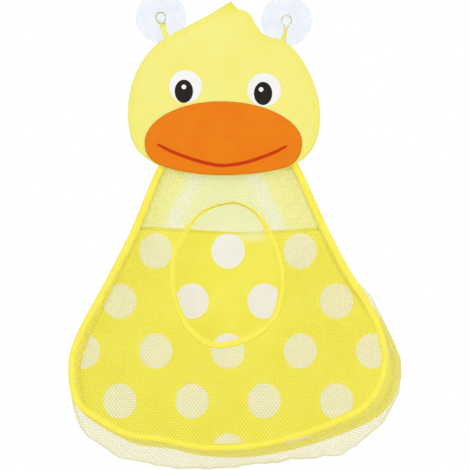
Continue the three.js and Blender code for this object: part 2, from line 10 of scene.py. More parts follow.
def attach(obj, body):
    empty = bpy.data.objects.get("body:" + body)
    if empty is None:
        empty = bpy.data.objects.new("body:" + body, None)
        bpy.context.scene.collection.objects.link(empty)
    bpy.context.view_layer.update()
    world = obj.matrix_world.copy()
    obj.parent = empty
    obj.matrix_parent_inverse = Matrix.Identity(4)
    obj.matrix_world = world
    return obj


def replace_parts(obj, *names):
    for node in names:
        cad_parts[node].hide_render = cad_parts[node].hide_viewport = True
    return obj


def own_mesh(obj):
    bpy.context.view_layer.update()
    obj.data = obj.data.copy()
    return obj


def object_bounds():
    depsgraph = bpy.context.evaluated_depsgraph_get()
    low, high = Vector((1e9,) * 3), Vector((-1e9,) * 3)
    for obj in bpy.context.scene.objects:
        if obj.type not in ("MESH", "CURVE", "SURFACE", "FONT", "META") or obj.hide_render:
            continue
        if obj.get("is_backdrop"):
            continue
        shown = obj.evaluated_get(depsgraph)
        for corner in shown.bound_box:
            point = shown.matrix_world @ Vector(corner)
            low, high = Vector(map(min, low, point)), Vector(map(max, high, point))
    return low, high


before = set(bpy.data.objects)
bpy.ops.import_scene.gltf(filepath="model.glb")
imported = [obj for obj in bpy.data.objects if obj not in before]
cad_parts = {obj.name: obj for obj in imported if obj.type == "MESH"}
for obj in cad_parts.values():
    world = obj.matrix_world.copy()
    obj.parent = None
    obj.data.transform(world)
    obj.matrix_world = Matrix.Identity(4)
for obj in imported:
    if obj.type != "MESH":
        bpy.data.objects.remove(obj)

cad_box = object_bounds()
MM = 0.001  # every length below is in millimetres until a piece is made

# Sizes of the parts, most of them the solid model's too
SEAT_GAP = 0.3
HANG_Y = -14.6
CUP_SPACING = 113.0
CUP_RISE = 2.7
CUP_DOME = 11.8
CUP_HOLLOW = 3.8
NECK_RADIUS = 3.5
KNOB_RADIUS = 5.25
KNOB_HEIGHT = 4.2
TAPE_WIDTH = 5.0
TAPE_THICKNESS = 0.8
LOOP_FEET = {"left": -51.9, "right": 53.3}
HEAD_HALF_WIDTH = 86.0
HEAD_HEIGHT = 156.4
CREST_Z = 15.8
BEAK = {"x": -0.3, "z": -106.8, "half_width": 70.7, "half_height": 32.7}
SMILE = {"x": -1.4, "z": -113.5, "half_width": 57.3, "drop": 18.4, "width": 3.1}
EYES = {
    "left": {"x": -34.4, "z": -60.8, "size": 29.7, "look": (-1.4, -4.2), "glint": (0.0, 3.9)},
    "right": {"x": 36.2, "z": -63.8, "size": 30.4, "look": (-0.9, -3.2), "glint": (-1.8, 3.6)},
}
PUPIL = (16.4, 20.8)
GLINT = 4.2
NECK_Z = -125.5
POUCH_X = 5.0
FRONT_HALF_WIDTH = 141.8
FRONT_LENGTH = 271.0
POUCH_DEPTH = 78.0
BACK_HALF_WIDTH = 147.8
BACK_HEIGHT = 268.0
BACK_SHIFT = 9.0
BACK_SPREAD = (0.36, 0.8)
FRONT_BULGE = 10.0
GUSSET_SAG = 20.0
POUCH_MIDDLE = -162.0  # the height from the neck that directions are taken from
GUSSET_FULL = (0.3, 0.6)
GUSSET_TOP = 8.0
SEAM_Z = -192.0
SEAM_LOW_X = 15.0  # where the seam hangs lowest
SEAM_RISE = 4.6  # how much higher it runs at the pouch's sides
SEAM_REACH = 95.0
SEAM_GAP = 0.3
BINDING_WIDTH = 6.5
BINDING_HALF = 1.65
WIRE_RADIUS = 0.75
WIRE_INSET = 1.65  # from the outline to the wire's middle
FLAT_NECK = (8.0, 50.0)  # how far down the tapes have no puckers, so that they can lie on each other
MOUTH = {"x": 3.0, "z": -110.0, "half_width": 51.0, "half_height": 69.6}
MOUTH_BINDING = 5.0
HINGE_Y = -7.35
BACK_Y = -3.75
PANEL_Y = -3.3
PANEL_EDGE = 2.7
TILT = math.asin(POUCH_DEPTH / FRONT_LENGTH)

POUCH_SHARES = [
    (0, 0.018), (-0.33, 0.01), (-0.425, 0.006), (-0.455, 0.03), (-0.638, 0.266), (-0.79, 0.43),
    (-0.96, 0.606), (-1.01, 0.7), (-0.973, 0.837), (-0.85, 0.895), (-0.63, 0.957), (-0.43, 0.972),
    (-0.2, 0.998), (0.07, 1), (0.365, 0.97), (0.7, 0.907), (0.85, 0.862), (0.95, 0.795), (1, 0.69),
    (0.962, 0.582), (0.885, 0.491), (0.772, 0.394), (0.646, 0.266), (0.447, 0.03), (0.417, 0.006),
    (0.325, 0.01),
]
# The belly of the mesh wall as a share of its fullest, by the direction from the pouch's middle: a
# share of a half turn from straight down, less than zero on the left.
SAG_SHARES = [
    (-1, 0.1), (-0.47, 0.1), (-0.4, 0.02), (-0.37, 0.12), (-0.344, 0.4), (-0.322, 0.74), (-0.303, 0.86),
    (-0.278, 0.85), (-0.25, 0.77), (-0.223, 0.8), (-0.19, 0.97), (-0.15, 0.9), (-0.1, 0.68), (-0.05, 0.61),
    (0, 0.55), (0.04, 0.46), (0.09, 0.53), (0.14, 0.63), (0.19, 0.86), (0.24, 1.03), (0.275, 0.9),
    (0.305, 0.76), (0.335, 0.56), (0.36, 0.41), (0.39, 0.39), (0.42, 0.3), (0.45, 0.22), (0.49, 0.05),
    (0.52, 0.08), (0.56, 0.22), (0.6, 0.5), (1, 0.5),
]
MOUTH_SHARES = [
    (0.12, 1), (-0.4, 0.893), (-0.667, 0.706), (-0.947, 0.33), (-1, -0.046), (-0.947, -0.355),
    (-0.632, -0.812), (-0.19, -1), (0.44, -0.879), (0.877, -0.57), (1, -0.087), (0.947, 0.263),
    (0.72, 0.666), (0.44, 0.905),
]
HEAD_START = (0.076, 0)
HEAD_CURVES = [
    [(-0.144, 0.074)],
    [(-0.57, 0.197)],
    [(-0.83, 0.278), (-1, 0.44), (-1, 0.64)],
    [(-1, 0.76), (-0.95, 0.845), (-0.82, 0.895)],
    [(-0.67, 0.965), (-0.35, 1), (-0.02, 1)],
    [(0.35, 1), (0.7, 0.97), (0.84, 0.9)],
    [(0.96, 0.842), (1.006, 0.77), (1.006, 0.65)],
    [(1, 0.45), (0.72, 0.205), (0.526, 0.214)],
    [(0.42, 0.205), (0.35, 0.16), (0.295, 0.094)],
    [(0.265, 0.053), (0.19, 0.048), (0.142, 0.042)],
    [(0.076, 0)],
]
BEAK_START = (-1, -0.133)
BEAK_CURVES = [
    [(-1, -0.38), (-0.93, -0.6), (-0.83, -0.69)],
    [(-0.68, -0.84), (-0.36, -1), (-0.02, -1)],
    [(0.32, -1), (0.68, -0.87), (0.83, -0.75)],
    [(0.93, -0.66), (1, -0.42), (1, -0.133)],
    [(1, 0.45), (0.55, 1), (-0.03, 1)],
    [(-0.6, 1), (-1, 0.45), (-1, -0.133)],
]
SMILE_SHARES = [
    (-1, 0.03), (-0.82, -0.26), (-0.57, -0.57), (-0.32, -0.81), (-0.13, -0.945), (0.02, -0.985),
    (0.17, -0.945), (0.38, -0.82), (0.62, -0.585), (0.84, -0.31), (1, -0.05),
]
SMILE_WIDTHS = [0.75, 0.95, 1, 1, 1, 1, 1, 1, 1, 0.9, 0.7]

# Sizes of the cloth's own detail
CELL_X = 3.3  # the mesh: width of a cell, and height of a row of cells
CELL_Z = 2.34
CELL_TIP = 1.752  # from a cell's middle to its upper corner, and to its side corners
CELL_SIDE = 0.588
HOLE_SHARE = 0.82
YARN_HALF = 0.12
DOT_RADIUS = 15.0
DOT_TALLNESS = 1.06  # the dots are printed a little taller than wide
DOT_X = 3.8
DOT_Z = -208.4
DOT_STEP_X = 65.0
DOT_STEP_Z = 90.0


# Curves and outlines

def smoothstep(value, low, high):
    t = min(max((value - low) / (high - low), 0.0), 1.0)
    return t * t * (3 - 2 * t)


def mix(a, b, t):
    return a + (b - a) * t


def wobble(x, y, z, size):
    """Smooth noise from -1 to 1 whose waves are about size long."""
    return noise.noise(Vector((x / size, y / size, z / size)))


def curve_through(points, steps, closed=True):
    """Dense points on a centripetal curve through the given points."""
    points = [Vector(p) for p in points]
    count = len(points)
    if not closed:
        points = [2 * points[0] - points[1]] + points + [2 * points[-1] - points[-2]]
    made = []
    for i in range(count if closed else count - 1):
        if closed:
            p0, p1, p2, p3 = (points[(i + k) % count] for k in (-1, 0, 1, 2))
        else:
            p0, p1, p2, p3 = points[i:i + 4]
        d0, d1, d2 = ((b - a).length ** 0.5 for a, b in ((p0, p1), (p1, p2), (p2, p3)))
        m1 = ((p1 - p0) / d0 - (p2 - p0) / (d0 + d1) + (p2 - p1) / d1) * d1
        m2 = ((p2 - p1) / d1 - (p3 - p1) / (d1 + d2) + (p3 - p2) / d2) * d1
        for s in range(steps):
            t = s / steps
            made.append(
                p1 * (2 * t ** 3 - 3 * t ** 2 + 1) + m1 * (t ** 3 - 2 * t ** 2 + t)
                + p2 * (3 * t ** 2 - 2 * t ** 3) + m2 * (t ** 3 - t ** 2))
    if not closed:
        made.append(points[-2].copy())
    return made


def curve_of(start, curves, place, steps=40):
    """Dense points on a closed outline of straight and cubic pieces."""
    made = []
    here = Vector(place(start))
    for piece in curves:
        ends = [Vector(place(p)) for p in piece]
        for s in range(steps):
            t = s / steps
            if len(ends) == 1:
                made.append(here.lerp(ends[0], t))
            else:
                a, b, c = ends
                made.append(
                    here * (1 - t) ** 3 + 3 * a * t * (1 - t) ** 2 + 3 * b * t * t * (1 - t) + c * t ** 3)
        here = ends[-1]
    return made


def lengths(line):
    """How far along a line each of its points lies."""
    far = [0.0]
    for a, b in zip(line, line[1:]):
        far.append(far[-1] + (b - a).length)
    return far


def steps_at(far, goals):
    """For each goal, the step of a row of growing lengths that holds it and its share of that step."""
    k = 0
    for goal in goals:
        while k < len(far) - 2 and far[k + 1] < goal:
            k += 1
        yield k, (goal - far[k]) / max(far[k + 1] - far[k], 1e-9)


def spread(points, count, closed=True):
    """The same line with its points evenly spaced."""
    line = list(points) + ([points[0]] if closed else [])
    far = lengths(line)
    goals = (far[-1] * i / (count if closed else count - 1) for i in range(count))
    return [line[k].lerp(line[k + 1], share) for k, share in steps_at(far, goals)]


def line_length(points, closed=True):
    return lengths(list(points) + ([points[0]] if closed else []))[-1]


def smoothed(values, reach):
    """A closed row of values, each the mean of those near it."""
    count = len(values)
    near = range(-reach, reach + 1)
    return [sum(values[(i + k) % count] for k in near) / len(near) for i in range(count)]


class Outline:
    """A closed line in X and Z: evenly spaced points, outward directions and depth below the line."""

    def __init__(self, dense, count):
        self.length = line_length(dense)
        self.at = spread(dense, count)
        area = sum(a.x * b.y - b.x * a.y for a, b in zip(self.at, self.at[1:] + self.at[:1]))
        self.turn = 1 if area > 0 else -1
        self.out = self.outward(self.at)
        self.fine = spread(dense, int(self.length / 0.5))
        self.fine_out = self.outward(self.fine)
        self.tree = KDTree(len(self.fine))
        for i, p in enumerate(self.fine):
            self.tree.insert((p.x, p.y, 0), i)
        self.tree.balance()

    def outward(self, points):
        made = []
        for i in range(len(points)):
            along = points[(i + 1) % len(points)] - points[i - 1]
            made.append((Vector((along.y, -along.x)) * self.turn).normalized())
        return made

    def depth(self, p):
        """How far a point lies inside the line, and the outward direction there."""
        _, i, far = self.tree.find((p[0], p[1], 0))
        side = (Vector((p[0], p[1])) - self.fine[i]).dot(self.fine_out[i])
        return (far if side < 0 else -far), self.fine_out[i]


def pouch_outline(half_width, height, shift, count):
    """An outline that is as wide as the front at its top and spreads on its way down."""
    points = []
    for across, down in POUCH_SHARES:
        share = smoothstep(down, *BACK_SPREAD)
        reach = mix(FRONT_HALF_WIDTH, half_width, share)
        points.append((POUCH_X + across * reach + shift * share, -down * height))
    return Outline(curve_through(points, 24), count)


def head_place(share):
    return share[0] * HEAD_HALF_WIDTH, CREST_Z - share[1] * HEAD_HEIGHT


def beak_place(share):
    return BEAK["x"] + share[0] * BEAK["half_width"], BEAK["z"] + share[1] * BEAK["half_height"]


def oval(x, z, width, height, count=96):
    turns = (2 * math.pi * i / count for i in range(count))
    return [Vector((x + math.cos(t) * width / 2, z + math.sin(t) * height / 2)) for t in turns]


RING = 720
front_line = pouch_outline(FRONT_HALF_WIDTH, FRONT_LENGTH, 0, RING)
back_line = pouch_outline(BACK_HALF_WIDTH, BACK_HEIGHT, BACK_SHIFT, RING)
mouth_line = Outline(curve_through([
    (MOUTH["x"] + a * MOUTH["half_width"], MOUTH["z"] + u * MOUTH["half_height"])
    for a, u in MOUTH_SHARES], 24), 360)
head_line = Outline(curve_of(HEAD_START, HEAD_CURVES, head_place), 360)
beak_line = Outline(curve_of(BEAK_START, BEAK_CURVES, beak_place), 220)


def on_front(x, y, z):
    """A point of the sloping front panel's own plane, in the object's frame."""
    return Vector((
        x,
        HINGE_Y + y * math.cos(TILT) + z * math.sin(TILT),
        NECK_Z - y * math.sin(TILT) + z * math.cos(TILT)))


def on_back(x, y, z):
    return Vector((x, BACK_Y + y, NECK_Z + z))


# Materials

def rgb(red, green, blue):
    """A screen colour, 0 to 255, as the light values that shaders take."""
    def light(c):
        c /= 255
        return c / 12.92 if c <= 0.04045 else ((c + 0.055) / 1.055) ** 2.4
    return light(red), light(green), light(blue), 1.0


class Nodes:
    """The node tree of a material or of the world."""

    def __init__(self, owner):
        owner.use_nodes = True
        self.tree = owner.node_tree
        self.tree.nodes.clear()

    def new(self, kind, inputs=None, **props):
        made = self.tree.nodes.new(kind)
        for key, value in props.items():
            setattr(made, key, value)
        for key, value in (inputs or {}).items():
            if isinstance(value, bpy.types.NodeSocket):
                self.tree.links.new(value, made.inputs[key])
            else:
                made.inputs[key].default_value = value
        return made

    def math(self, operation, *values):
        return self.new("ShaderNodeMath", dict(enumerate(values)), operation=operation).outputs[0]

    def blend(self, share, a, b):
        return self.new("ShaderNodeMix", {0: share, 6: a, 7: b}, data_type="RGBA").outputs[2]

    def ramp(self, value, low, high, a=0.0, b=1.0):
        made = self.new("ShaderNodeMapRange", {
            "Value": value, "From Min": low, "From Max": high, "To Min": a, "To Max": b},
            interpolation_type="SMOOTHSTEP")
        return made.outputs[0]

    def seen(self):
        """1 for rays from the camera, from mirrors and through clear things, and 0 for light."""
        path = self.new("ShaderNodeLightPath").outputs
        plain = self.math("MAXIMUM", path["Is Camera Ray"], path["Is Glossy Ray"])
        return self.math("MAXIMUM", plain, path["Is Transmission Ray"])

    def end(self, kind, share, a, b):
        """The output: one shader, and a share of another one."""
        both = self.new("ShaderNodeMixShader", {0: share, 1: a.outputs[0], 2: b.outputs[0]})
        self.new(kind, {"Surface": both.outputs[0]})


class Look(Nodes):
    """One procedural material. Its patterns run on the cloth attribute, or through a solid, in metres."""

    def __init__(self, name, solid=False, **settings):
        self.material = bpy.data.materials.new(name)
        super().__init__(self.material)
        self.shader = self.new("ShaderNodeBsdfPrincipled", settings)
        self.new("ShaderNodeOutputMaterial", {"Surface": self.shader.outputs[0]})
        if solid:
            self.place = self.new("ShaderNodeTexCoord").outputs["Object"]
        else:
            self.place = self.new("ShaderNodeAttribute", attribute_name="cloth").outputs["Vector"]
            self.across, self.up, self.rim = self.new("ShaderNodeSeparateXYZ", {0: self.place}).outputs

    def plus(self, value, share, other):
        """A value times a share, plus another value."""
        return self.math("MULTIPLY_ADD", value, share, other)

    def off(self, value, middle):
        """A value in metres, measured from a middle in millimetres."""
        return self.math("ADD", value, -middle * MM)

    def far(self, a, b):
        """The long side of a right-angled triangle."""
        return self.math("SQRT", self.math("ADD", self.math("POWER", a, 2.0), self.math("POWER", b, 2.0)))

    def waves(self, value, pitch):
        """A sine of the given length along a value in metres."""
        return self.math("SINE", self.plus(value, 2 * math.pi / (pitch * MM), 0.0))

    def clouds(self, size, detail=3.0):
        """Noise from 0 to 1 whose spots are about size millimetres across."""
        return self.new("ShaderNodeTexNoise", {
            "Vector": self.place, "Scale": 1 / (size * MM), "Detail": detail, "Roughness": 0.55}).outputs[0]

    def varied(self, base, deep, size, share):
        """The base colour with soft spots of a deeper one."""
        return self.blend(self.ramp(self.clouds(size), 0.35, 0.7, 0.0, share), base, deep)

    def slanted(self, slant, pitch):
        """Fine lines that run across at a slant."""
        return self.waves(self.math("ADD", self.across, self.math("MULTIPLY", self.up, slant)), pitch)

    def woven(self, pitch):
        """Plain weave: over and under along both threads."""
        return self.math("MULTIPLY", self.waves(self.across, pitch), self.waves(self.up, pitch))

    def finish(self, colour, height, depth, rough=None, spots=(0.2, 0.8)):
        """Set the colour, raise the surface by height times depth millimetres, and vary the gloss.

        Rough is the size of the gloss's soft spots and the roughness at both ends of them.
        """
        bump = self.new("ShaderNodeBump", {"Height": height, "Distance": depth * MM, "Strength": 1.0})
        self.tree.links.new(colour, self.shader.inputs["Base Color"])
        self.tree.links.new(bump.outputs[0], self.shader.inputs["Normal"])
        if rough:
            uneven = self.ramp(self.clouds(rough[0]), *spots, *rough[1:])
            self.tree.links.new(uneven, self.shader.inputs["Roughness"])
        return self.material


def soft(sheen, sheen_roughness, shine, roughness, **more):
    """The plain settings of a cloth's shader."""
    return {"Sheen Weight": sheen, "Sheen Roughness": sheen_roughness, "Specular IOR Level": shine,
            "Roughness": roughness, **more}


# Thin cloth lets light through: a share of it spreads inside before it leaves again.
THIN_CLOTH = {"Subsurface Weight": 0.45, "Subsurface Radius": (1.0, 0.92, 0.55), "Subsurface Scale": 0.003}

TWILL = (0.35, 0.62)  # the slant and the pitch of satin's fine lines
YARN_TWIST = (0.7, 0.5)  # the same for the twist of yarn
THREAD_PITCH = 0.9

# Where the cloth's colour departs from the rest, in millimetres in the object's frame. The yoke's streaks
# are painted highlight and the pale spot is painted light
CREST_TIP = {"x": 6.0, "z": 17.0, "reach": 19.0}
STREAK = {"x": 1.0, "z": -145.7, "reach": 28.0, "slope": 0.48, "half_width": 11.0}
PALE_SPOT = {"x": 25.0, "z": -194.6, "half_width": 22.0, "half_height": 9.0}

CUP_SHARE = 0.55  # how much of the light the clear plastic bends, the rest goes straight through
YOKE_SHARE = 0.66  # how much of the light the sheer cloth stops
NET_SHARE = 0.62  # how much of the light the net's yarn stops
PALE_YARN = rgb(252, 250, 150)  # a paler copy of the net's yarn colour, painted light, where it hangs before the yoke
PALE_YARN_SHARE = 0.2


def satin_look():
    look = Look("satin", **soft(0.15, 0.4, 0.35, 0.48))
    base = look.varied(rgb(246, 240, 131), rgb(245, 238, 118), 28, 0.8)
    # Painted shade: the colour deepens within 7 mm of the head's rolled edge
    edge = look.ramp(look.rim, 0.0, 7 * MM, 1.0, 0.0)
    rim_shaded = look.blend(look.math("MULTIPLY", edge, 0.55), base, rgb(247, 238, 92))
    away = look.far(look.off(look.across, CREST_TIP["x"]), look.off(look.up, CREST_TIP["z"]))
    crest = look.ramp(away, 0.2 * CREST_TIP["reach"] * MM, CREST_TIP["reach"] * MM, 0.7, 0.0)
    weave = look.plus(look.slanted(*TWILL), 0.5, look.math("MULTIPLY", look.waves(look.up, 0.9), 0.2))
    return look.finish(look.blend(crest, rim_shaded, rgb(240, 227, 76)),
                       look.plus(look.clouds(5), 2.5, weave), 0.03, (9, 0.36, 0.5))


def print_look(name, base, deep, edge_colour, edge_width, roughness=0.5, shine=0.25):
    """A printed or transferred patch: the rim value is the distance from its edge."""
    look = Look(name, **{"Roughness": roughness, "Specular IOR Level": shine})
    edge = look.ramp(look.rim, edge_width * 0.5 * MM, edge_width * 1.5 * MM, 1.0, 0.0)
    height = look.plus(look.clouds(4), 2.0, look.math("MULTIPLY", look.slanted(*TWILL), 0.5))
    return look.finish(look.blend(edge, look.varied(base, deep, 22, 0.7), edge_colour),
                       height, 0.025, (7, roughness - 0.06, roughness + 0.08))


def tape_look(name, base, deep):
    """Ribbed woven tape: ribs run across it, with painted shade between them."""
    look = Look(name, **soft(0.3, 0.45, 0.35, 0.6))
    rib = look.waves(look.across, 0.85)
    # Painted shade: the colour deepens in the grooves between the ribs
    colour = look.blend(look.ramp(rib, -1.0, 0.2, 0.25, 0.0), look.varied(base, deep, 14, 0.7), deep)
    ribs = look.plus(rib, 0.6, look.math("MULTIPLY", look.waves(look.up, 0.8), 0.3))
    return look.finish(colour, look.plus(look.clouds(3), 1.2, ribs), 0.06, (6, 0.52, 0.7))


def yarn_look(name, base, deep, share=1.0, pale_above=None):
    """Twisted yarn. Fine net yarn lets a share of the light straight through."""
    look = Look(name, **soft(0.3, 0.4, 0.3, 0.5, Alpha=share))
    colour = look.varied(base, deep, 18, 0.8)
    # Painted light: above the seam the yarn is blended to a paler copy of its colour and lets more through
    if pale_above:
        upper = look.ramp(look.up, (pale_above - 8) * MM, (pale_above + 2) * MM)
        colour = look.blend(upper, colour, PALE_YARN)
        fainter = look.plus(upper, PALE_YARN_SHARE - share, share)
        look.tree.links.new(fainter, look.shader.inputs["Alpha"])
    return look.finish(colour, look.slanted(*YARN_TWIST), 0.015, (5, 0.45, 0.6))


def yoke_look():
    """Sheer plain weave with two pale streaks of painted highlight along slack folds, which spread on their
    way down.
    """
    look = Look("sheer_cloth", **soft(0.1, 0.4, 0.3, 0.4, Alpha=YOKE_SHARE, **THIN_CLOTH))
    # Painted highlight: pale streaks along the folds that yoke_front raises
    side = look.math("ABSOLUTE", look.off(look.across, STREAK["x"]))
    reach = look.plus(look.off(look.up, STREAK["z"]), -STREAK["slope"], STREAK["reach"] * MM)
    beyond = look.math("SUBTRACT", side, reach)
    streak = look.ramp(look.math("ABSOLUTE", beyond), 2 * MM, STREAK["half_width"] * MM, 1.0, 0.0)
    patchy = look.ramp(look.clouds(13, 2.0), 0.25, 0.6, 0.35, 1.0)
    ground = look.blend(look.ramp(beyond, 0.0, 16 * MM), rgb(246, 249, 188), rgb(251, 248, 150))
    base = look.blend(look.math("MULTIPLY", streak, patchy), ground, rgb(247, 250, 226))
    # Painted shade: a deeper colour in the weave's low places
    threads = look.math("ADD", look.waves(look.across, 0.7), look.waves(look.up, 0.7))
    colour = look.blend(look.ramp(threads, -2.0, 2.0, 0.2, 0.0), base, rgb(234, 238, 160))
    return look.finish(colour, look.woven(THREAD_PITCH), 0.03, (7, 0.5, 0.32), (0.3, 0.7))


def dotted_look(name, thin):
    """Yellow plain weave with white dots in staggered rows. Where it lies double it isn't thin."""
    look = Look(name, **soft(0.1, 0.45, 0.3, 0.55, **(THIN_CLOTH if thin else {})))
    columns = look.plus(look.across, 1 / (DOT_STEP_X * MM), -DOT_X / DOT_STEP_X)
    rows = look.plus(look.up, 1 / (DOT_STEP_Z * MM), -DOT_Z / DOT_STEP_Z)

    def nearest(shift):
        """Distance in metres from the nearest dot's middle."""
        sides = []
        for value, step in ((columns, DOT_STEP_X), (rows, DOT_STEP_Z / DOT_TALLNESS)):
            cell = look.math("FRACT", look.math("ADD", value, shift))
            sides.append(look.math("MULTIPLY", look.math("SUBTRACT", cell, 0.5), step * MM))
        return look.far(*sides)

    away = look.math("MINIMUM", nearest(0.5), nearest(1.0))
    dot = look.ramp(away, (DOT_RADIUS - 0.35) * MM, (DOT_RADIUS + 0.35) * MM, 1.0, 0.0)
    # Painted light: a pale patch on the ground just below the seam's right part
    spot = look.far(
        look.math("MULTIPLY", look.off(look.across, PALE_SPOT["x"]), 1 / (PALE_SPOT["half_width"] * MM)),
        look.math("MULTIPLY", look.off(look.up, PALE_SPOT["z"]), 1 / (PALE_SPOT["half_height"] * MM)))
    ground = look.varied(rgb(247, 235, 84), rgb(242, 227, 66), 34, 0.9)
    ground_lit = look.blend(look.ramp(spot, 0.1, 1.05, 0.8, 0.0), ground, rgb(246, 245, 182))
    ink = look.varied(rgb(241, 238, 232), rgb(236, 233, 224), 12, 0.6)
    shade = look.ramp(look.woven(0.8), -1.0, 1.0, 0.08, 0.0)
    return look.finish(look.blend(shade, look.blend(dot, ground_lit, ink), rgb(228, 214, 76)),
                       look.plus(look.clouds(6), 1.6, look.woven(THREAD_PITCH)), 0.05, (8, 0.48, 0.62))


def clear_look():
    look = Look("clear_pvc", **{"Roughness": 0.06, "IOR": 1.25, "Transmission Weight": 0.94,
                                "Coat Weight": 0.2, "Coat Roughness": 0.05, "Alpha": CUP_SHARE})
    colour = look.blend(look.ramp(look.clouds(12), 0.3, 0.7), rgb(236, 242, 252), rgb(220, 229, 246))
    return look.finish(colour, look.clouds(5), 0.08, (4, 0.03, 0.12))


def steel_look():
    look = Look("spring_steel", solid=True, Roughness=0.3, Metallic=1.0)
    grain = look.new("ShaderNodeTexNoise", {"Vector": look.place, "Scale": 900.0}).outputs[0]
    return look.finish(look.blend(grain, rgb(176, 178, 182), rgb(196, 198, 201)), grain, 0.03)


def foam_look():
    look = Look("foam_sheet", solid=True, Roughness=0.9)
    pores = look.new("ShaderNodeTexVoronoi", {"Vector": look.place, "Scale": 700.0}).outputs[0]
    return look.finish(look.blend(pores, rgb(228, 226, 216), rgb(240, 238, 230)), pores, 0.2)


satin = satin_look()
orange = print_look(
    "orange_print", rgb(239, 130, 16), rgb(237, 123, 8), rgb(212, 120, 18), 0.6, 0.55, 0.1)
red = print_look("red_print", rgb(205, 58, 4), rgb(200, 50, 2), rgb(210, 70, 8), 0.2, 0.55, 0.1)
white = print_look("white_print", rgb(248, 247, 243), rgb(244, 243, 240), rgb(248, 245, 220), 0.5)
black = print_look("black_print", rgb(38, 34, 33), rgb(30, 28, 28), rgb(24, 22, 22), 0.4, 0.62, 0.1)
tape = tape_look("yellow_tape", rgb(255, 246, 88), rgb(254, 238, 70))
pale_tape = tape_look("loop_tape", rgb(249, 244, 138), rgb(243, 236, 112))
yarn = yarn_look("mesh_yarn", rgb(255, 249, 104), rgb(254, 244, 84), NET_SHARE, SEAM_Z - NECK_Z)
# Painted light: the side net's yarn is a paler copy of the front yarn, brightened against the shade between
# its layers
brightened_yarn = yarn_look("gusset_yarn_brightened", rgb(254, 248, 176), rgb(252, 245, 146), NET_SHARE)
thread = yarn_look("sewing_thread", rgb(250, 236, 98), rgb(244, 228, 76))
sheer = yoke_look()
dotted = dotted_look("dotted_cloth", True)
double_dotted = dotted_look("dotted_cloth_double", False)
clear = clear_look()
steel = steel_look()


# Making pieces

# A stitch's rings: their place along it and their width as shares, and their lift in millimetres
STITCH_RINGS = [(-1.0, 0.35, -0.12), (-0.7, 0.9, 0.1), (0.0, 1.0, 0.2), (0.7, 0.9, 0.1), (1.0, 0.35, -0.12)]
STITCH_SIDES = 6
STITCH_STEPS = 8  # how many steps of the path a stitch and its gap take
STITCH_FLATNESS = 0.8
STITCH_PATTERN = 4.0  # how far the yarn's pattern moves on from one stitch to the next
CORNERS_PER_MM = 20  # two corners of the net's cells that agree to this fineness are one


def added(name, data):
    """A new object in the scene."""
    made = bpy.data.objects.new(name, data)
    bpy.context.scene.collection.objects.link(made)
    return made


def piece(name, points, faces, look, body, slot, cloth=None):
    """A smooth mesh from points in millimetres, riding on a body."""
    data = bpy.data.meshes.new(name)
    data.from_pydata([p * MM for p in points], [], faces)
    places = cloth or [(p.x, p.z, 0.0) for p in points]
    stored = data.attributes.new("cloth", "FLOAT_VECTOR", "POINT")
    stored.data.foreach_set("vector", [c * MM for place in places for c in place])
    data.polygons.foreach_set("use_smooth", [True] * len(data.polygons))
    data.materials.append(look)
    data.update()
    made = added(name, data)
    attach(made, body)
    return made


def crease(made, marked):
    """Keep the edges between marked points sharp, so that the faces beside them shade as flat."""
    for edge in made.data.edges:
        edge.use_edge_sharp = all(marked[i] for i in edge.vertices)


def fill(edge, insets, spacing):
    """Points and triangles inside a closed edge: rings that follow it, then a staggered grid."""
    line = Outline(edge, len(edge))
    points = [p.copy() for p in line.at]
    links = [(i, (i + 1) % len(points)) for i in range(len(points))]
    for inset in insets:
        for p, out in zip(line.at, line.out):
            q = p - out * inset
            if line.depth(q)[0] > inset - 0.08:
                points.append(q)
    low = [min(p[k] for p in line.at) for k in (0, 1)]
    high = [max(p[k] for p in line.at) for k in (0, 1)]
    rise = spacing * math.sqrt(3) / 2
    for j in range(int((high[1] - low[1]) / rise) + 1):
        for i in range(int((high[0] - low[0]) / spacing) + 1):
            q = Vector((low[0] + (i + 0.5 * (j % 2)) * spacing, low[1] + j * rise))
            if line.depth(q)[0] > insets[-1] + 0.6 * spacing:
                points.append(q)
    flat, _, faces, *_ = delaunay_2d_cdt(points, links, [], 1, 1e-6)
    return line, flat, [tuple(f) for f in faces]


def rim_edges(faces):
    """Edges used by one face only, in the direction of that face."""
    seen = {}
    for face in faces:
        for a, b in zip(face, face[1:] + face[:1]):
            if (b, a) in seen:
                del seen[(b, a)]
            else:
                seen[(a, b)] = True
    return list(seen)


def closed_sheet(flat, faces, front, thickness):
    """A thin closed sheet: front gives each flat point's place, and the back lies behind it."""
    count = len(flat)
    near = [front(p) for p in flat]
    points = near + [p + Vector((0, thickness, 0)) for p in near]
    made = list(faces) + [tuple(i + count for i in reversed(f)) for f in faces]
    made += [(b, a, a + count, b + count) for a, b in rim_edges(faces)]
    return points, made


def tube_faces(rows, size, start=0, closed=False, capped=False):
    """Faces of a tube from rows of points that each run round it. Closed joins its two ends."""
    faces = []
    for r in range(rows if closed else rows - 1):
        a, b = start + r * size, start + (r + 1) % rows * size
        for j in range(size):
            k = (j + 1) % size
            faces.append((a + j, a + k, b + k, b + j))
    if capped:
        last = start + (rows - 1) * size
        faces.append(tuple(start + j for j in reversed(range(size))))
        faces.append(tuple(last + j for j in range(size)))
    return faces


def facing_out(points, faces):
    """The same faces, turned so that the closed surface faces outwards."""
    volume = 0.0
    for f in faces:
        for k in range(1, len(f) - 1):
            volume += points[f[0]].dot(points[f[k]].cross(points[f[k + 1]]))
    return faces if volume > 0 else [tuple(reversed(f)) for f in faces]


def swept_ring(line, section, place):
    """A section carried round an outline. Section gives (out, back) pairs for each step."""
    points, cloth = [], []
    pitch = line.length / len(line.at)
    for i, (at, outward) in enumerate(zip(line.at, line.out)):
        pairs = section(i)
        for (out, back), far in zip(pairs, lengths([Vector(pair) for pair in pairs])):
            here = at + outward * out
            points.append(place(here.x, back, here.y))
            cloth.append((i * pitch, far, 0.0))
    return points, facing_out(points, tube_faces(len(line.at), len(pairs), closed=True)), cloth


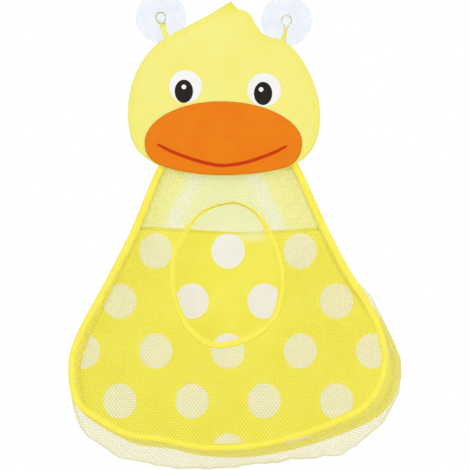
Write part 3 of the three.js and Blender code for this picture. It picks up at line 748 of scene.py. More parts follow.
def stitch_line(name, path, normals, body, length, gap, radius, closed=True):
    """A row of stitches that lie on a path, each a small bent capsule."""
    total = line_length(path, closed)
    count = max(1, int(total / (length + gap)))
    fine = count * STITCH_STEPS + (0 if closed else 1)
    where, lean = spread(path, fine, closed), spread(normals, fine, closed)
    half = length / 2 / (length + gap) * (total / count)
    points, faces, cloth = [], [], []
    for i in range(count):
        k = i * STITCH_STEPS + STITCH_STEPS // 2
        at, up = where[k], lean[k].normalized()
        along = (where[(k + 1) % fine] - where[k - 1]).normalized()
        side = along.cross(up).normalized()
        faces += tube_faces(len(STITCH_RINGS), STITCH_SIDES, len(points), capped=True)
        for reach, wide, lift in STITCH_RINGS:
            for s in range(STITCH_SIDES):
                turn = 2 * math.pi * s / STITCH_SIDES
                points.append(
                    at + along * reach * half + side * math.cos(turn) * radius * wide
                    + up * (math.sin(turn) * radius * STITCH_FLATNESS * wide + lift))
                cloth.append((i * STITCH_PATTERN + reach * half, turn * radius, 0.0))
    piece(name, points, facing_out(points, faces), thread, body, "yellow_tape", cloth)


def lattice(cells, inside, place, name, look, body, slot):
    """A net of six-sided cells. Place maps a flat point and a height to space."""
    corners = [(0, CELL_TIP), (-CELL_X / 2, CELL_SIDE), (-CELL_X / 2, -CELL_SIDE),
               (0, -CELL_TIP), (CELL_X / 2, -CELL_SIDE), (CELL_X / 2, CELL_SIDE)]
    points, cloth, faces, known, used, holes = [], [], [], {}, {}, set()

    def add(u, v, height):
        u, v = inside(u, v)
        points.append(place(u, v, height))
        cloth.append((u, v, height))
        return len(points) - 1

    for u, v in cells:
        rim = []
        for du, dv in corners:
            key = (round((u + du) * CORNERS_PER_MM), round((v + dv) * CORNERS_PER_MM))
            if key not in known:
                known[key] = (add(u + du, v + dv, YARN_HALF), add(u + du, v + dv, -YARN_HALF))
            rim.append(known[key])
        hole = [add(u + du * HOLE_SHARE, v + dv * HOLE_SHARE, 0.0) for du, dv in corners]
        holes.update(hole)
        for a in range(6):
            b = (a + 1) % 6
            faces.append((rim[a][0], rim[b][0], hole[b], hole[a]))
            faces.append((rim[b][1], rim[a][1], hole[a], hole[b]))
            edge = (rim[a][0], rim[b][0])
            if edge[::-1] in used:
                del used[edge[::-1]]
            else:
                used[edge] = (rim[a], rim[b])
    for a, b in used.values():
        faces.append((b[0], a[0], a[1], b[1]))
    made = piece(name, points, faces, look, body, slot, cloth)
    made.data.validate()
    crease(made, [i in holes for i in range(len(points))])
    return made


# Head

STITCH_INSET = 4.6
BEAK_EDGE_INSET = 0.35
PAD_HALF = 1.7  # half the pad's thickness, which it reaches at PAD_EDGE from its outline
PAD_EDGE = 3.6
PAD_RINGS = (0.35, 0.8, 1.5, 2.6, 3.6, 4.2, 4.6, 5.0, 5.8, 7.2)
# The crease that folding has left in the head: its place across, lean, width and depth
HEAD_FOLD = {"x": -53, "lean": 0.04, "width": 2.6, "depth": 0.5}
SOLVER_STEPS = 20
SOLVER_PINNED = 1.2  # how near the edge the cloth solver moves nothing
SOLVER_MOST = 1.3  # the largest movement that is kept
CLOTH_SETTINGS = {
    "quality": 5, "mass": 0.2, "tension_stiffness": 12, "compression_stiffness": 12,
    "shear_stiffness": 4, "bending_stiffness": 0.4, "air_damping": 4, "shrink_min": -0.012,
    "use_pressure": True, "uniform_pressure_force": 2.5, "vertex_group_mass": "pinned",
}


def pad_half(depth):
    """Half the pad's thickness at a distance from its edge."""
    edge = math.sqrt(max(0.0, 1 - (1 - min(depth / PAD_EDGE, 1.0)) ** 2))
    groove = 0.05 * math.exp(-((depth - STITCH_INSET) / 0.8) ** 2)
    return PAD_HALF * edge - groove + 0.25 * smoothstep(depth, 1, 20)


def make_head():
    """The padded head: two faces of satin over a thin pad, blown up a little by the cloth solver."""
    line, flat, faces = fill(head_line.at, PAD_RINGS, 3.2)
    rim = {i for pair in rim_edges(faces) for i in pair}
    depths = [0.0 if i in rim else max(line.depth(p)[0], 0.1) for i, p in enumerate(flat)]
    points, cloth, back = [], [], []
    for side in (-1, 1):
        for i, (p, depth) in enumerate(zip(flat, depths)):
            shared = side == 1 and i in rim
            back.append(i if shared else len(points))
            if not shared:
                points.append(Vector((p.x, HANG_Y + side * pad_half(depth), p.y)))
                cloth.append((p.x, p.y, depth))
    back = back[len(flat):]
    made = piece(
        "padded_head", points, list(faces) + [tuple(back[i] for i in reversed(f)) for f in faces],
        satin, "head", "yellow_satin", cloth)
    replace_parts(made, "head_front_panel", "head_back_panel")
    blow_up(made, [c[2] for c in cloth])
    settle(made, [c[2] for c in cloth])
    return made


def blow_up(made, depths):
    """Run the cloth solver with a little pressure, then keep its shape up to a largest movement."""
    group = made.vertex_groups.new(name="pinned")
    group.add([i for i, depth in enumerate(depths) if depth < SOLVER_PINNED], 1.0, "REPLACE")
    modifier = made.modifiers.new("cloth", "CLOTH")
    for key, value in CLOTH_SETTINGS.items():
        setattr(modifier.settings, key, value)
    modifier.settings.effector_weights.gravity = 0
    modifier.collision_settings.use_collision = False
    modifier.collision_settings.use_self_collision = False
    scene = bpy.context.scene
    for step in range(1, SOLVER_STEPS + 1):
        scene.frame_set(step)
    seen = made.evaluated_get(bpy.context.evaluated_depsgraph_get())
    moved = [b.co - a.co for a, b in zip(made.data.vertices, seen.data.vertices)]
    longest = max(m.length for m in moved)
    made.modifiers.remove(modifier)
    made.vertex_groups.remove(group)
    scene.frame_set(1)
    share = min(1.0, SOLVER_MOST * MM / longest) if longest > 0 else 0.0
    for vertex, m in zip(made.data.vertices, moved):
        vertex.co += m * share


def settle(made, depths):
    """Soft unevenness of a flat pad that has been folded: one crease on the left and slack by the edge."""
    for vertex, depth in zip(made.data.vertices, depths):
        x, y, z = (c / MM for c in vertex.co)
        free = smoothstep(depth, 1.0, 9.0)
        side = -1 if y < HANG_Y else 1
        away = (x - HEAD_FOLD["x"] + HEAD_FOLD["lean"] * z) / HEAD_FOLD["width"]
        fold = -HEAD_FOLD["depth"] * math.exp(-away ** 2) * smoothstep(-z, 8, 40)
        swell = 0.35 * wobble(x, z, side * 7, 34) + 0.12 * wobble(x, z, side * 3, 11)
        pucker = 0.05 * wobble(x, z, side * 5, 5) * math.exp(-((depth - STITCH_INSET) / 3) ** 2)
        vertex.co.y += side * (free * (fold + swell) + pucker) * MM
    made.data.update()


head = make_head()
head_tree = BVHTree.FromPolygons(
    [v.co.copy() for v in head.data.vertices], [tuple(p.vertices) for p in head.data.polygons])


def head_surface(x, z, side=-1):
    """Where the head's front (or back, side 1) face lies, and the direction out of it."""
    hit, normal, _, _ = head_tree.ray_cast(
        Vector((x * MM, (HANG_Y + side * 30) * MM, z * MM)), Vector((0, -side, 0)))
    if hit is None:
        return Vector((x, HANG_Y, z)), Vector((0, side, 0))
    return hit / MM, (normal if normal.y * side > 0 else -normal)


def stitches_on_head(name, side):
    inner = [p - out * STITCH_INSET for p, out in zip(head_line.at, head_line.out)]
    kept = [q for q in inner if head_line.depth(q)[0] > STITCH_INSET - 0.15]
    path, lean = zip(*(head_surface(q.x, q.y, side) for q in kept))
    stitch_line(name, path, lean, "head", 2.2, 1.1, 0.13)


stitches_on_head("head_front_stitches", -1)
stitches_on_head("head_back_stitches", 1)


# Face

def patch(name, edge, low, lift, look, slot, node, spacing=3.0):
    """A thin patch that lies on the head, with its rim turned down to the layer below it."""
    line, flat, faces = fill(edge, (0.12, 0.35, 0.8, 1.4), spacing)
    points, cloth = [], []
    for p in flat:
        depth = max(line.depth(p)[0], 0.0)
        raised = mix(low, lift, smoothstep(depth, -0.05, 0.2))
        points.append(Vector((p.x, head_surface(p.x, p.y)[0].y - raised, p.y)))
        cloth.append((p.x, p.y, depth))
    made = piece(name, points, faces, look, "head", slot, cloth)
    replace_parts(made, node)


def make_eye(side, eye):
    """The white, the dark and the spark of an eye, each a little above the one below it."""
    x, z = eye["x"], eye["z"]
    patch(f"white_of_eye_{side}", oval(x, z, eye["size"], eye["size"]), 0.03, 0.25,
          white, "white_print", f"eye_white_{side}")
    x, z = x + eye["look"][0], z + eye["look"][1]
    patch(f"dark_of_eye_{side}", oval(x, z, *PUPIL), 0.22, 0.42,
          black, "black_print", f"pupil_{side}", 2.0)
    x, z = x + eye["glint"][0], z + eye["glint"][1]
    patch(f"spark_of_eye_{side}", oval(x, z, GLINT, GLINT, 40), 0.38, 0.55,
          white, "white_print", f"glint_{side}", 1.2)


def beak_edge():
    """The beak's outline, drawn out to the head's own edge where the two run close together."""
    found = [head_line.depth(p) for p in beak_line.at]
    pulls = smoothed([(depth - BEAK_EDGE_INSET) * smoothstep(depth, 4.2, 0.8) for depth, _ in found], 6)
    return [p + out * min(pull, depth - BEAK_EDGE_INSET)
            for p, pull, (depth, out) in zip(beak_line.at, pulls, found)]


def rounded_end(middle, corner):
    """Points round the end of the smile, from one corner to the other."""
    half = corner - middle
    turn = math.atan2(half.y, half.x)
    steps = (turn - k * math.pi / 6 for k in range(1, 6))
    return [middle + Vector((math.cos(t), math.sin(t))) * half.length for t in steps]


def smile_edge():
    """The smile's outline: a curved strip with rounded ends."""
    line = curve_through([
        (SMILE["x"] + a * SMILE["half_width"], SMILE["z"] + u * SMILE["drop"])
        for a, u in SMILE_SHARES], 24, closed=False)
    widths = curve_through(list(enumerate(SMILE_WIDTHS)), 24, closed=False)
    upper, lower = [], []
    for i, p in enumerate(line):
        along = (line[min(i + 1, len(line) - 1)] - line[max(i - 1, 0)]).normalized()
        across = Vector((-along.y, along.x)) * widths[i].y * SMILE["width"] / 2
        upper.append(p + across)
        lower.append(p - across)
    end, start = rounded_end(line[-1], upper[-1]), rounded_end(line[0], lower[0])
    return spread(upper + end + lower[::-1] + start, 260)


for side, eye in EYES.items():
    make_eye(side, eye)
patch("printed_beak", beak_edge(), 0.03, 0.6, orange, "orange_print", "beak")
patch("printed_smile", smile_edge(), 0.55, 0.85, red, "red_print", "smile", 1.5)


# Pouch: front

TAPE_STITCH_INSET = 1.15  # from the tape's free edge
TAPE_SLOT = 1.05  # half the space inside a folded tape, and inside the mouth's thinner one
MOUTH_SLOT = 0.6
WIRE_SIDES = 12
FOLD_BACK = 0.9  # how far from the tapes' folds the net ends
STITCH_DEPTH = 0.38  # how far below a tape's fullest its stitches lie


def fullness(z):
    """How far the front bellies out at a height, from 0 at the neck to 1 at the mouth's foot."""
    return min(max((-z - 30) / 150, 0.0), 1.0) ** 1.5


def mouth_width(z):
    """The width of the mouth's tape, which narrows to a thin roll at the top."""
    up = (z - MOUTH["z"]) / MOUTH["half_height"]
    return mix(MOUTH_BINDING, 2.3, smoothstep(up, 0.5, 0.96)) + 0.5 * smoothstep(-up, 0.6, 1.0)


def front_sheet(x, z):
    """How far the front mesh stands back of its own plane at a point: negative is forward."""
    outer = max(front_line.depth((x, z))[0], 0.0)
    inner = max(-mouth_line.depth((x, z))[0], 0.0)
    share = outer / max(outer + inner, 1e-6)
    belly = FRONT_BULGE * fullness(z) * (1 - (1 - share) ** 2)
    free = smoothstep(outer, 6, 26) * smoothstep(inner, 1, 20)
    ripple = 1.1 * wobble(x, z, 3, 38) + 0.5 * wobble(x * 1.6, z, 9, 19)
    return -0.45 * (1 - share) - belly + ripple * free


def cell_middles(low, high, lines):
    """Each cell's place from low to high, and its line. Odd lines lie half a cell further on."""
    for j in lines:
        for i in range(int((high - low) / CELL_X) + 1):
            yield low + (i + 0.5 * (j % 2)) * CELL_X, j


def make_front_mesh():
    """The front net, from inside the edge's tape to inside the mouth's."""
    low, high = POUCH_X - FRONT_HALF_WIDTH, POUCH_X + FRONT_HALF_WIDTH
    cells = []
    for u, j in cell_middles(low, high, range(int(FRONT_LENGTH / CELL_Z) + 1)):
        v = -j * CELL_Z
        if front_line.depth((u, v))[0] > 1.6 and mouth_line.depth((u, v))[0] < mouth_width(v) - 1.1:
            cells.append((u, v))

    def inside(u, v):
        """Bring a point that lies past the folded edge back to it."""
        depth, out = front_line.depth((u, v))
        if depth < FOLD_BACK:
            u, v = u - out.x * (FOLD_BACK - depth), v - out.y * (FOLD_BACK - depth)
        depth, out = mouth_line.depth((u, v))
        most = mouth_width(v) - FOLD_BACK
        if depth > most:
            u, v = u + out.x * (depth - most), v + out.y * (depth - most)
        return u, v

    def place(u, v, height):
        u2 = u + 0.5 * wobble(u, v, 1, 30)
        v2 = v + 0.5 * wobble(u, v, 6, 26)
        outer, inner = front_line.depth((u, v))[0], -mouth_line.depth((u, v))[0]
        edge = smoothstep(outer, 0, 8) * smoothstep(inner, 0, 8)
        return on_front(mix(u, u2, edge), front_sheet(u, v) - height, mix(v, v2, edge))

    made = lattice(cells, inside, place, "front_net", yarn, "front", "yellow_mesh")
    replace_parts(made, "front_mesh")
    return made


def binding_section(width, puff, groove):
    """Half of a folded tape's section, from its free edge round to the fold: (inward, out of plane)."""
    return [
        (width, 0.8), (width + 0.04, 0.98), (width - 0.1, 1.15), (width - 0.5, 1.3),
        (width - 0.85, 1.38 - groove * 0.5), (width - TAPE_STITCH_INSET, 1.42 - groove),
        (width - 1.45, 1.48 - groove * 0.5), (width - 2.0, 1.6 + puff * 0.5),
        (mix(width, 0, 0.55), 1.68 + puff), (mix(width, 0, 0.7), 1.66 + puff),
        (min(1.5, width * 0.3), 1.6), (min(0.8, width * 0.2), 1.38), (0.32, 0.95), (0.06, 0.45),
    ]


def make_binding(name, line, place, body, node, seed, side=-1, slot=TAPE_SLOT,
                 width=lambda i: BINDING_WIDTH, raise_by=lambda i: 0.0):
    """A tape folded over an edge, with a stitch line near its free edge and fine puckers along it."""
    thin = BINDING_HALF - TAPE_SLOT + slot

    def section(i):
        here = line.at[i]
        pucker = 0.14 * wobble(here.x, here.y, seed, 5) + 0.1 * wobble(here.x, here.y, seed, 14)
        wide = width(i) * (1 + 0.035 * wobble(here.x, here.y, seed + 4, 22))
        puff = smoothstep(-here.y, *FLAT_NECK) * (0.1 + pucker)
        half = [(a, b * (thin / BINDING_HALF)) for a, b in binding_section(wide, puff, 0.15 + 0.05 * pucker)]
        lining = [(wide, slot * 0.7), (wide * 0.5, slot), (0.7, slot)]
        pairs = [(a, -b) for a, b in half] + [(0.0, 0.0)] + half[::-1]
        pairs += lining + [(a, -b) for a, b in lining[::-1]]
        return [(side * a, b - raise_by(i)) for a, b in pairs]

    points, faces, cloth = swept_ring(line, section, place)
    made = piece(name, points, faces, tape, body, "yellow_tape", cloth)
    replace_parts(made, node)
    for label, face in (("front", -1), ("back", 1)):
        path, lean = [], []
        for i, (at, out) in enumerate(zip(line.at, line.out)):
            here = at + out * side * (width(i) - TAPE_STITCH_INSET)
            low = place(here.x, face * (thin - STITCH_DEPTH) - raise_by(i), here.y)
            path.append(low)
            lean.append(place(here.x, face * (thin + 0.8) - raise_by(i), here.y) - low)
        stitch_line(f"{name}_{label}_stitches", path, lean, body, 2.5, 1.2, 0.2)
    return made


def make_wire(name, line, place, body, node):
    """The spring wire that lies in a binding's fold and keeps the pouch open."""
    turns = (2 * math.pi * s / WIRE_SIDES for s in range(WIRE_SIDES))
    section = [(math.cos(t) * WIRE_RADIUS - WIRE_INSET, math.sin(t) * WIRE_RADIUS) for t in turns]
    points, faces, cloth = swept_ring(line, lambda i: section, place)
    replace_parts(piece(name, points, faces, steel, body, "spring_wire", cloth), node)


hole_line = Outline([p - out * mouth_width(p.y) for p, out in zip(mouth_line.at, mouth_line.out)], 300)
hole_widths = [mouth_line.depth(p)[0] for p in hole_line.at]


def mouth_raise(i):
    """How far the belly lifts the mouth's tape."""
    return FRONT_BULGE * fullness((hole_line.at[i] + hole_line.out[i] * hole_widths[i]).y)


front_net = make_front_mesh()
front_rim = make_binding("front_edge_tape", front_line, on_front, "front", "front_binding", 2.0)
make_wire("front_spring_wire", front_line, on_front, "front", "front_hoop")
mouth_rim = make_binding(
    "mouth_edge_tape", hole_line, on_front, "front", "mouth_binding", 8.0, side=1,
    slot=MOUTH_SLOT, width=lambda i: hole_widths[i], raise_by=mouth_raise)


# Pouch: back and gusset

SEAM_STEPS = 60  # of the cut along the seam
FOLD_STEPS = 90  # of the turned edge that covers it
# The turned edge's section: up from the seam, and out of the cloth
FOLD_SECTION = [(-1.7, 0.0), (-1.3, 0.08), (-0.4, 0.14), (0.5, 0.12), (0.75, 0.05), (0.8, 0.0)]
PANEL_THICKNESS = 0.42


def seam_height(x):
    """The height of the seam between the back's two parts, which sags towards its middle."""
    return SEAM_Z + SEAM_RISE * smoothstep(abs(x - SEAM_LOW_X), 0, SEAM_REACH)


make_binding("back_edge_tape", back_line, on_back, "bag", "back_binding", 5.0)
panel_edge = spread(
    [p - out * PANEL_EDGE + Vector((0, NECK_Z)) for p, out in zip(back_line.at, back_line.out)], 420)
panel_line = Outline(panel_edge, len(panel_edge))


def back_part(side):
    """The back's outline above the seam (side 1) or below it (side -1)."""
    away = [side * (p.y - seam_height(p.x)) - SEAM_GAP / 2 for p in panel_edge]
    kept, crossings = [], []
    for i, p in enumerate(panel_edge):
        k = (i + 1) % len(panel_edge)
        if away[i] >= 0:
            kept.append(p.copy())
        if (away[i] >= 0) != (away[k] >= 0):
            kept.append(p.lerp(panel_edge[k], away[i] / (away[i] - away[k])))
            crossings.append(len(kept) - 1)
    leave, enter = crossings[::side]
    across = [mix(kept[leave].x, kept[enter].x, t / SEAM_STEPS) for t in range(1, SEAM_STEPS)]
    kept[leave + 1:leave + 1] = [Vector((x, seam_height(x) + side * SEAM_GAP / 2)) for x in across]
    return spread(kept, int(line_length(kept) / 2.4))


def panel_front(p):
    """The dotted cloth's front face, with soft waves away from its edges."""
    free = smoothstep(panel_line.depth(p)[0], 4, 30) * smoothstep(seam_height(p.x) - p.y, 1, 16)
    wave = 1.0 * wobble(p.x, p.y, 2, 52) + 0.35 * wobble(p.x * 1.5, p.y, 5, 21)
    return Vector((p.x, PANEL_Y - 0.22 + free * wave, p.y))


def yoke_front(p):
    """The sheer cloth's front face, with a soft fold along each pale streak."""
    free = smoothstep(panel_line.depth(p)[0], 4, 22) * smoothstep(p.y - seam_height(p.x), 1, 14)
    side = abs(p.x - STREAK["x"])
    reach = STREAK["reach"] + STREAK["slope"] * (STREAK["z"] - p.y)
    fold = 0.8 * math.exp(-((side - reach) / STREAK["half_width"]) ** 2)
    wave = 0.35 * wobble(p.x, p.y, 4, 22) + 0.2 * wobble(p.x, p.y, 7, 9)
    return Vector((p.x, PANEL_Y - 0.2 + free * (wave - fold), p.y))


def make_back_part(name, side, front, look, slot, node):
    _, flat, faces = fill(back_part(side), (1.2,), 4.0)
    points, made_faces = closed_sheet(flat, faces, front, PANEL_THICKNESS)
    made = piece(name, points, made_faces, look, "bag", slot)
    rim = {i for pair in rim_edges(faces) for i in pair}
    crease(made, [i % len(flat) in rim for i in range(len(points))])
    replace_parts(made, node)
    size = [(max(p[k] for p in flat) - min(p[k] for p in flat)) * MM for k in (0, 1)]
    area = sum(abs((flat[b] - flat[a]).cross(flat[c] - flat[a])) / 2 for a, b, c in faces) * MM * MM


def make_seam():
    """The seam between the two parts: the lower cloth's edge turned under, and its stitches."""
    at_seam = [p.x for p in panel_edge if abs(p.y - seam_height(p.x)) < 3]
    left, right = min(at_seam) + 1, max(at_seam) - 1
    across = [mix(left, right, i / FOLD_STEPS) for i in range(FOLD_STEPS + 1)]
    points = [Vector((x, PANEL_Y - 0.3 - out, seam_height(x) + up))
              for x in across for up, out in FOLD_SECTION]
    faces = facing_out(points, tube_faces(len(across), len(FOLD_SECTION), capped=True))
    fold = piece("back_seam_fold", points, faces, double_dotted, "bag", "yellow_panel")
    fold.data.polygons.foreach_set("use_smooth", [False] * len(faces))
    path = [Vector((x, PANEL_Y - 0.42, seam_height(x) - 0.6)) for x in across]
    stitch_line("back_seam_stitches", path, [Vector((0, -1, 0))] * len(path), "bag", 2.4, 1.2, 0.1, False)


make_back_part("sheer_upper_back", 1, yoke_front, sheer, "sheer_yoke", "back_yoke")
make_back_part("dotted_lower_back", -1, panel_front, dotted, "yellow_panel", "back_panel")
make_seam()
make_wire("back_spring_wire", back_line, on_back, "bag", "back_hoop")

GUSSET_SPANS = (0.06, 0.12, 0.22, 0.32, 0.41, 0.5, 0.59, 0.68, 0.78, 0.88, 0.94)
ROW_STEPS = 24
SAG_SMOOTHING = 6  # steps of the outline on either side
NET_LAYER = 0.45  # how far off a tape's middle the mesh wall lies inside it


def facing(i):
    """Which way the mesh wall faces at a place along the outlines."""
    front_out, back_out = front_line.out[i], back_line.out[i]
    return Vector((front_out.x + back_out.x, 0, front_out.y + back_out.y)).normalized()


def sag_at(i):
    """The belly at a place along the outlines."""
    here = front_line.at[i]
    turn = math.atan2(here.x - POUCH_X, POUCH_MIDDLE - here.y) / math.pi
    for (low, a), (high, b) in zip(SAG_SHARES, SAG_SHARES[1:]):
        if turn <= high:
            return GUSSET_SAG * mix(a, b, smoothstep(turn, low, high))
    return 0.0


gusset_sags = smoothed([sag_at(i) for i in range(RING)], SAG_SMOOTHING)


def gusset_row(i):
    """The gusset's line across one place, out of the front tape and into the back tape."""
    front = front_line.at[i]
    inset = -(BINDING_WIDTH - 0.3)

    def front_at(out, deep):
        p = front + front_line.out[i] * out
        return on_front(p.x, deep, p.y)

    def back_at(out, deep):
        p = back_line.at[i] + back_line.out[i] * out
        return on_back(p.x, deep, p.y)

    space = (front_at(inset, NET_LAYER) - back_at(inset, -NET_LAYER)).length
    run = NET_LAYER + min(BINDING_HALF + SEAT_GAP + 0.6 - NET_LAYER, 0.4 * space)
    start, end = front_at(inset, run), back_at(inset, -run)
    full = smoothstep(-front.y / FRONT_LENGTH, *GUSSET_FULL)
    slack = -inset / 2 * (1 - math.exp(-space / (4 * BINDING_WIDTH)))
    wide = smoothstep(space, 12, 60)
    belly = mix(slack, gusset_sags[i] - inset, full)
    belly *= 1 + wide * (0.1 * wobble(front.x, front.y, 1, 17) + 0.07 * wobble(front.x, front.y, 4, 8))
    between = []
    for share in GUSSET_SPANS:
        p = start.lerp(end, share) + facing(i) * belly * (1 - (2 * share - 1) ** 2)
        between.append(p + facing(i) * wide * wobble(p.x * 1.2, p.y, p.z * 1.2, 13))
    ends = [front_at(-PANEL_EDGE, NET_LAYER), front_at(inset, NET_LAYER), start]
    ends_back = [end, back_at(inset, -NET_LAYER), back_at(-PANEL_EDGE, -NET_LAYER)]
    return spread(ends + between + ends_back, ROW_STEPS + 1, closed=False)


def make_gusset():
    """The mesh wall, its length along the outlines and its widest width."""
    rows = [gusset_row(i) for i in range(RING) if front_line.at[i].y < -GUSSET_TOP]
    widths = [line_length(row, closed=False) for row in rows]
    far = lengths([row[ROW_STEPS // 2] for row in rows])
    total, widest = far[-1], max(widths)
    stations = int(total)
    even = [k + t for k, t in steps_at(far, (total * s / stations for s in range(stations + 1)))]

    def station(u):
        """The row, with its fraction, at a length along the wall."""
        s = min(max(u / total, 0.0), 1.0) * stations
        return mix(even[int(s)], even[min(int(s) + 1, stations)], s - int(s))

    def width_at(s):
        k = min(int(s), len(widths) - 2)
        return mix(widths[k], widths[k + 1], s - k)

    def surface(s, share):
        """The wall's middle layer at a row and a share of the way across."""
        k = min(int(s), len(rows) - 2)
        place = min(max(share, 0.0), 1.0) * ROW_STEPS
        m = min(int(place), ROW_STEPS - 1)
        a, b = (row[m].lerp(row[m + 1], place - m) for row in rows[k:k + 2])
        return a.lerp(b, s - k)

    def inside(u, v):
        u = min(max(u, 0.5), total - 0.5)
        half = width_at(station(u)) / 2 - 0.4
        return u, min(max(v, -half), half)

    def place(u, v, height):
        s = station(u)
        share = 0.5 + v / width_at(s)
        here = surface(s, share)
        along = surface(min(s + 0.5, len(rows) - 1.001), share) - surface(max(s - 0.5, 0), share)
        across = surface(s, min(share + 0.02, 1)) - surface(s, max(share - 0.02, 0))
        normal = along.cross(across)
        return here + normal.normalized() * height if normal.length > 1e-9 else here

    lines = int(widest / 2 / CELL_Z) + 1
    cells = [(u, j * CELL_Z) for u, j in cell_middles(0, total, range(-lines, lines + 1))
             if 0 < u < total and abs(j * CELL_Z) < width_at(station(u)) / 2 - 0.9]
    made = lattice(cells, inside, place, "side_net", brightened_yarn, "bag", "yellow_mesh")
    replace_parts(made, "gusset")
    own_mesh(made)
    return made, total, widest


side_net, gusset_length, gusset_width = make_gusset()


# Loops and cups

CUPS = {
    "left": Vector((-CUP_SPACING / 2, 0, CUP_RISE / 2)),
    "right": Vector((CUP_SPACING / 2, 0, -CUP_RISE / 2)),
}
# Where each loop's tape starts and ends its quarter turn, as shares of its way to the cup
LOOP_TURNS = {"left": (0.4, 1.0), "right": (-0.5, 1.0)}
LOOP_LEAN = 0.35  # how far the tape leaves square to the head's edge, and not straight to the cup
LOOP_STEPS = 22
LOOP_ROOT = 1.2  # how far the tape reaches into the head
HEAD_TOP = 91.0  # how far below the crest the head's upper edge ends
# The tape's section, as shares of half its width and half its thickness
LOOP_SECTION = [
    (-1, 0), (-0.96, 0.75), (-0.8, 1), (-0.3, 0.94), (0.3, 0.94), (0.8, 1), (0.96, 0.75),
    (1, 0), (0.96, -0.75), (0.8, -1), (-0.8, -1), (-0.96, -0.75),
]
CUP_SIDES = 96
CUP_ROWS = 96


def head_edge_at(x):
    """The head's upper edge at a place across, with the outward direction."""
    upper = [(p, out) for p, out in zip(head_line.at, head_line.out) if p.y > CREST_Z - HEAD_TOP]
    return min(upper, key=lambda pair: abs(pair[0].x - x))


def loop_line(side):
    """Places along the tape, up one ply, round the cup's neck and down the other, and its directions."""
    cup = CUPS[side]
    edge, out = (Vector((v.x, 0, v.y)) for v in head_edge_at(LOOP_FEET[side]))
    reach = NECK_RADIUS + SEAT_GAP + TAPE_THICKNESS / 2
    closed = (TAPE_THICKNESS + 0.1) / 2
    foot = edge + Vector((0, HANG_Y, 0)) - out * LOOP_ROOT
    top = Vector((cup.x, HANG_Y, cup.z))
    straight = (top - foot).normalized()
    bend = foot + straight.lerp(out, LOOP_LEAN).normalized() * ((foot - top).length / 2)
    depth = Vector((0, 1, 0))

    def tangent(t):
        return ((bend - foot) * (1 - t) + (top - bend) * t).normalized()

    def ply(t, sign):
        """Where a ply lies at a share of the way to the cup, with its width's and its face's direction."""
        along = tangent(t)
        across = Vector((along.z, 0, -along.x))
        turned = smoothstep(t, *LOOP_TURNS[side]) * math.pi / 2
        normal = across * math.sin(turned) + depth * math.cos(turned)
        width = across * math.cos(turned) - depth * math.sin(turned)
        middle = foot * (1 - t) ** 2 + bend * 2 * t * (1 - t) + top * t * t
        at = middle + normal * sign * mix(closed, reach, smoothstep(t, 0.5, 1))
        return at, width, normal * sign

    def round_neck(turn):
        up = tangent(1)
        outwards = Vector((up.z, 0, -up.x)) * math.cos(turn) + up * math.sin(turn)
        return top + outwards * reach, -depth, outwards

    rise = [i / LOOP_STEPS for i in range(LOOP_STEPS)]
    turns = [math.pi * i / LOOP_STEPS for i in range(LOOP_STEPS + 1)]
    return [ply(t, 1) for t in rise] + [round_neck(t) for t in turns] + [ply(t, -1) for t in rise[::-1]]


def make_loop(side):
    """A tape loop: two plies that part and turn on their way up and close round the cup's neck."""
    half, thick = TAPE_WIDTH / 2, TAPE_THICKNESS / 2
    line = loop_line(side)
    points, cloth = [], []
    for (at, width, normal), far in zip(line, lengths([at for at, _, _ in line])):
        for a, b in LOOP_SECTION:
            points.append(at + width * a * half + normal * b * thick)
            cloth.append((far, a * half, b))
    # Each face is turned about its first corner, which decides how the twisted ones are split in two
    faces = [(f[0], *f[:0:-1]) for f in tube_faces(len(line), len(LOOP_SECTION), capped=True)]
    made = piece(f"tape_loop_{side}", points, facing_out(points, faces), pale_tape, f"loop_{side}",
                 "yellow_tape", cloth)
    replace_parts(made, f"hanging_loop_{side}")


def make_cup(side):
    """A clear moulded cup on a smooth turned profile: hollow face, lip, dome, neck and knob."""
    base = CUPS[side]
    knob = CUP_DOME + TAPE_WIDTH + 2 * SEAT_GAP
    profile = [
        (0.0, CUP_HOLLOW), (4.1, 3.6), (8.2, 2.98), (12.3, 2.15), (16.4, 1.15), (19.3, 0.35), (20.6, 0.05),
        (21.6, 0.0), (22.3, 0.08), (22.5, 0.35), (22.3, 0.65), (21.4, 0.95), (19.7, 1.55), (16.5, 2.9),
        (14.9, 3.75), (12.4, 5.0), (9.6, 6.7), (7.4, 8.4), (5.6, 9.7), (4.5, 10.6), (3.75, 11.4),
        (NECK_RADIUS, CUP_DOME + 0.4), (NECK_RADIUS, knob - 0.5), (3.8, knob - 0.12), (4.7, knob + 0.02),
        (5.1, knob + 0.3), (KNOB_RADIUS, knob + 0.9), (KNOB_RADIUS, knob + 2.0), (4.9, knob + 2.9),
        (4.0, knob + 3.6), (2.6, knob + 4.05), (0.0, knob + KNOB_HEIGHT),
    ]
    dense = spread(curve_through(profile, 4, closed=False), CUP_ROWS, closed=False)
    points = []
    for radius, height in dense[1:-1]:
        for s in range(CUP_SIDES):
            turn = 2 * math.pi * s / CUP_SIDES
            points.append(base + Vector((radius * math.cos(turn), -height, radius * math.sin(turn))))
    faces = tube_faces(CUP_ROWS - 2, CUP_SIDES)
    pole, last = len(points), len(points) - CUP_SIDES
    points += [base - Vector((0, end.y, 0)) for end in (dense[0], dense[-1])]
    for s in range(CUP_SIDES):
        t = (s + 1) % CUP_SIDES
        faces += [(pole, t, s), (pole + 1, last + s, last + t)]
    made = piece(f"clear_cup_{side}", points, facing_out(points, faces), clear, f"cup_{side}", "clear_pvc")
    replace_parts(made, f"suction_cup_{side}")


for side in ("left", "right"):
    make_loop(side)
    make_cup(side)

# The padding is carried over from the solid model, inside the head's cloth
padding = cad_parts["head_padding"]
padding.data.materials.clear()
padding.data.materials.append(foam_look())


# Stage, light and camera

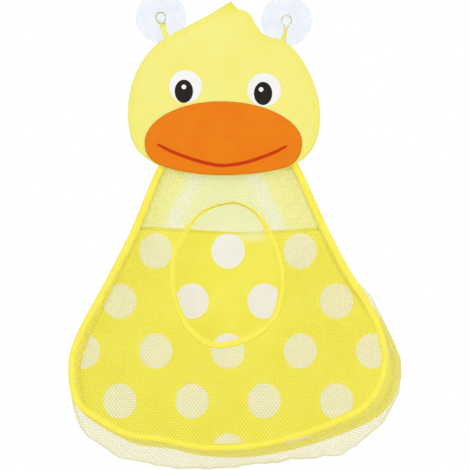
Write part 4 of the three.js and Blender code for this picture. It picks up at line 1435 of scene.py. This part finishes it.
FLOOR = {"x": 10.0, "y": -20.0, "z": -460.0, "reach": 1400.0, "sides": 64}
FLOOR_FADE = (0.45, 1.15)  # where the floor passes into the backdrop, in metres from the origin
ROOM_LIGHT = 0.74
LAMPS_AIM = (0.01, -0.03, -0.19)
CAMERA_PLACE = (0.0101, -6, -0.194)
CAMERA_LENS = 510.6
WHITE = (1, 1, 1, 1)


def make_stage():
    """A pale floor below the object. To the camera it passes into the white backdrop."""
    turns = [2 * math.pi * s / FLOOR["sides"] for s in range(FLOOR["sides"])]
    around = [(FLOOR["x"] + math.cos(t) * FLOOR["reach"], FLOOR["y"] + math.sin(t) * FLOOR["reach"])
              for t in turns]
    data = bpy.data.meshes.new("floor")
    data.from_pydata([Vector((x, y, FLOOR["z"])) * MM for x, y in around], [], [tuple(range(len(turns)))])
    added("floor", data)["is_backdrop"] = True
    material = bpy.data.materials.new("pale_floor")
    nodes = Nodes(material)
    ground = nodes.new("ShaderNodeBsdfPrincipled", {"Base Color": rgb(236, 236, 236), "Roughness": 0.9})
    glow = nodes.new("ShaderNodeEmission")
    place = nodes.new("ShaderNodeTexCoord").outputs["Object"]
    far = nodes.new("ShaderNodeVectorMath", {0: place}, operation="LENGTH").outputs["Value"]
    fade = nodes.math("MULTIPLY", nodes.ramp(far, *FLOOR_FADE), nodes.seen())
    nodes.end("ShaderNodeOutputMaterial", fade, ground, glow)
    data.materials.append(material)


def make_world():
    """A white room that gives a little less light than its white backdrop shows."""
    world = bpy.data.worlds.new("studio")
    bpy.context.scene.world = world
    nodes = Nodes(world)
    room = nodes.new("ShaderNodeBackground", {"Color": WHITE, "Strength": ROOM_LIGHT})
    backdrop = nodes.new("ShaderNodeBackground", {"Color": WHITE, "Strength": 1.0})
    nodes.end("ShaderNodeOutputWorld", nodes.seen(), room, backdrop)


def lamp(name, place, size, power):
    """A round soft lamp. Clear and shiny things show the white backdrop, and not the lamp."""
    data = bpy.data.lights.new(name, "AREA")
    data.shape = "DISK"
    data.size = size
    data.energy = power
    made = added(name, data)
    made.visible_transmission = False
    made.location = place
    made.rotation_euler = (Vector(LAMPS_AIM) - Vector(place)).to_track_quat("-Z", "Y").to_euler()


def make_camera():
    """The photo's view: from far off with a long lens."""
    data = bpy.data.cameras.new("photo_view")
    data.sensor_width = 36
    data.lens = CAMERA_LENS
    data.clip_end = 50
    made = added("photo_view", data)
    made.location = CAMERA_PLACE
    made.rotation_euler = (math.pi / 2, 0, 0)
    bpy.context.scene.camera = made


make_stage()
make_world()
lamp("key_light", (-1.0, -2.6, 0.8), 2.4, 18)
lamp("fill_light", (1.9, -1.8, 0.2), 1.8, 8)
lamp("back_light", (0.3, 2.4, 1.2), 1.8, 26)
make_camera()
bpy.context.scene.view_settings.view_transform = "Standard"

boxes = {"cad": cad_box, "visual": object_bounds()}
{key: [[float(c) for c in corner] for corner in box] for key, box in boxes.items()}
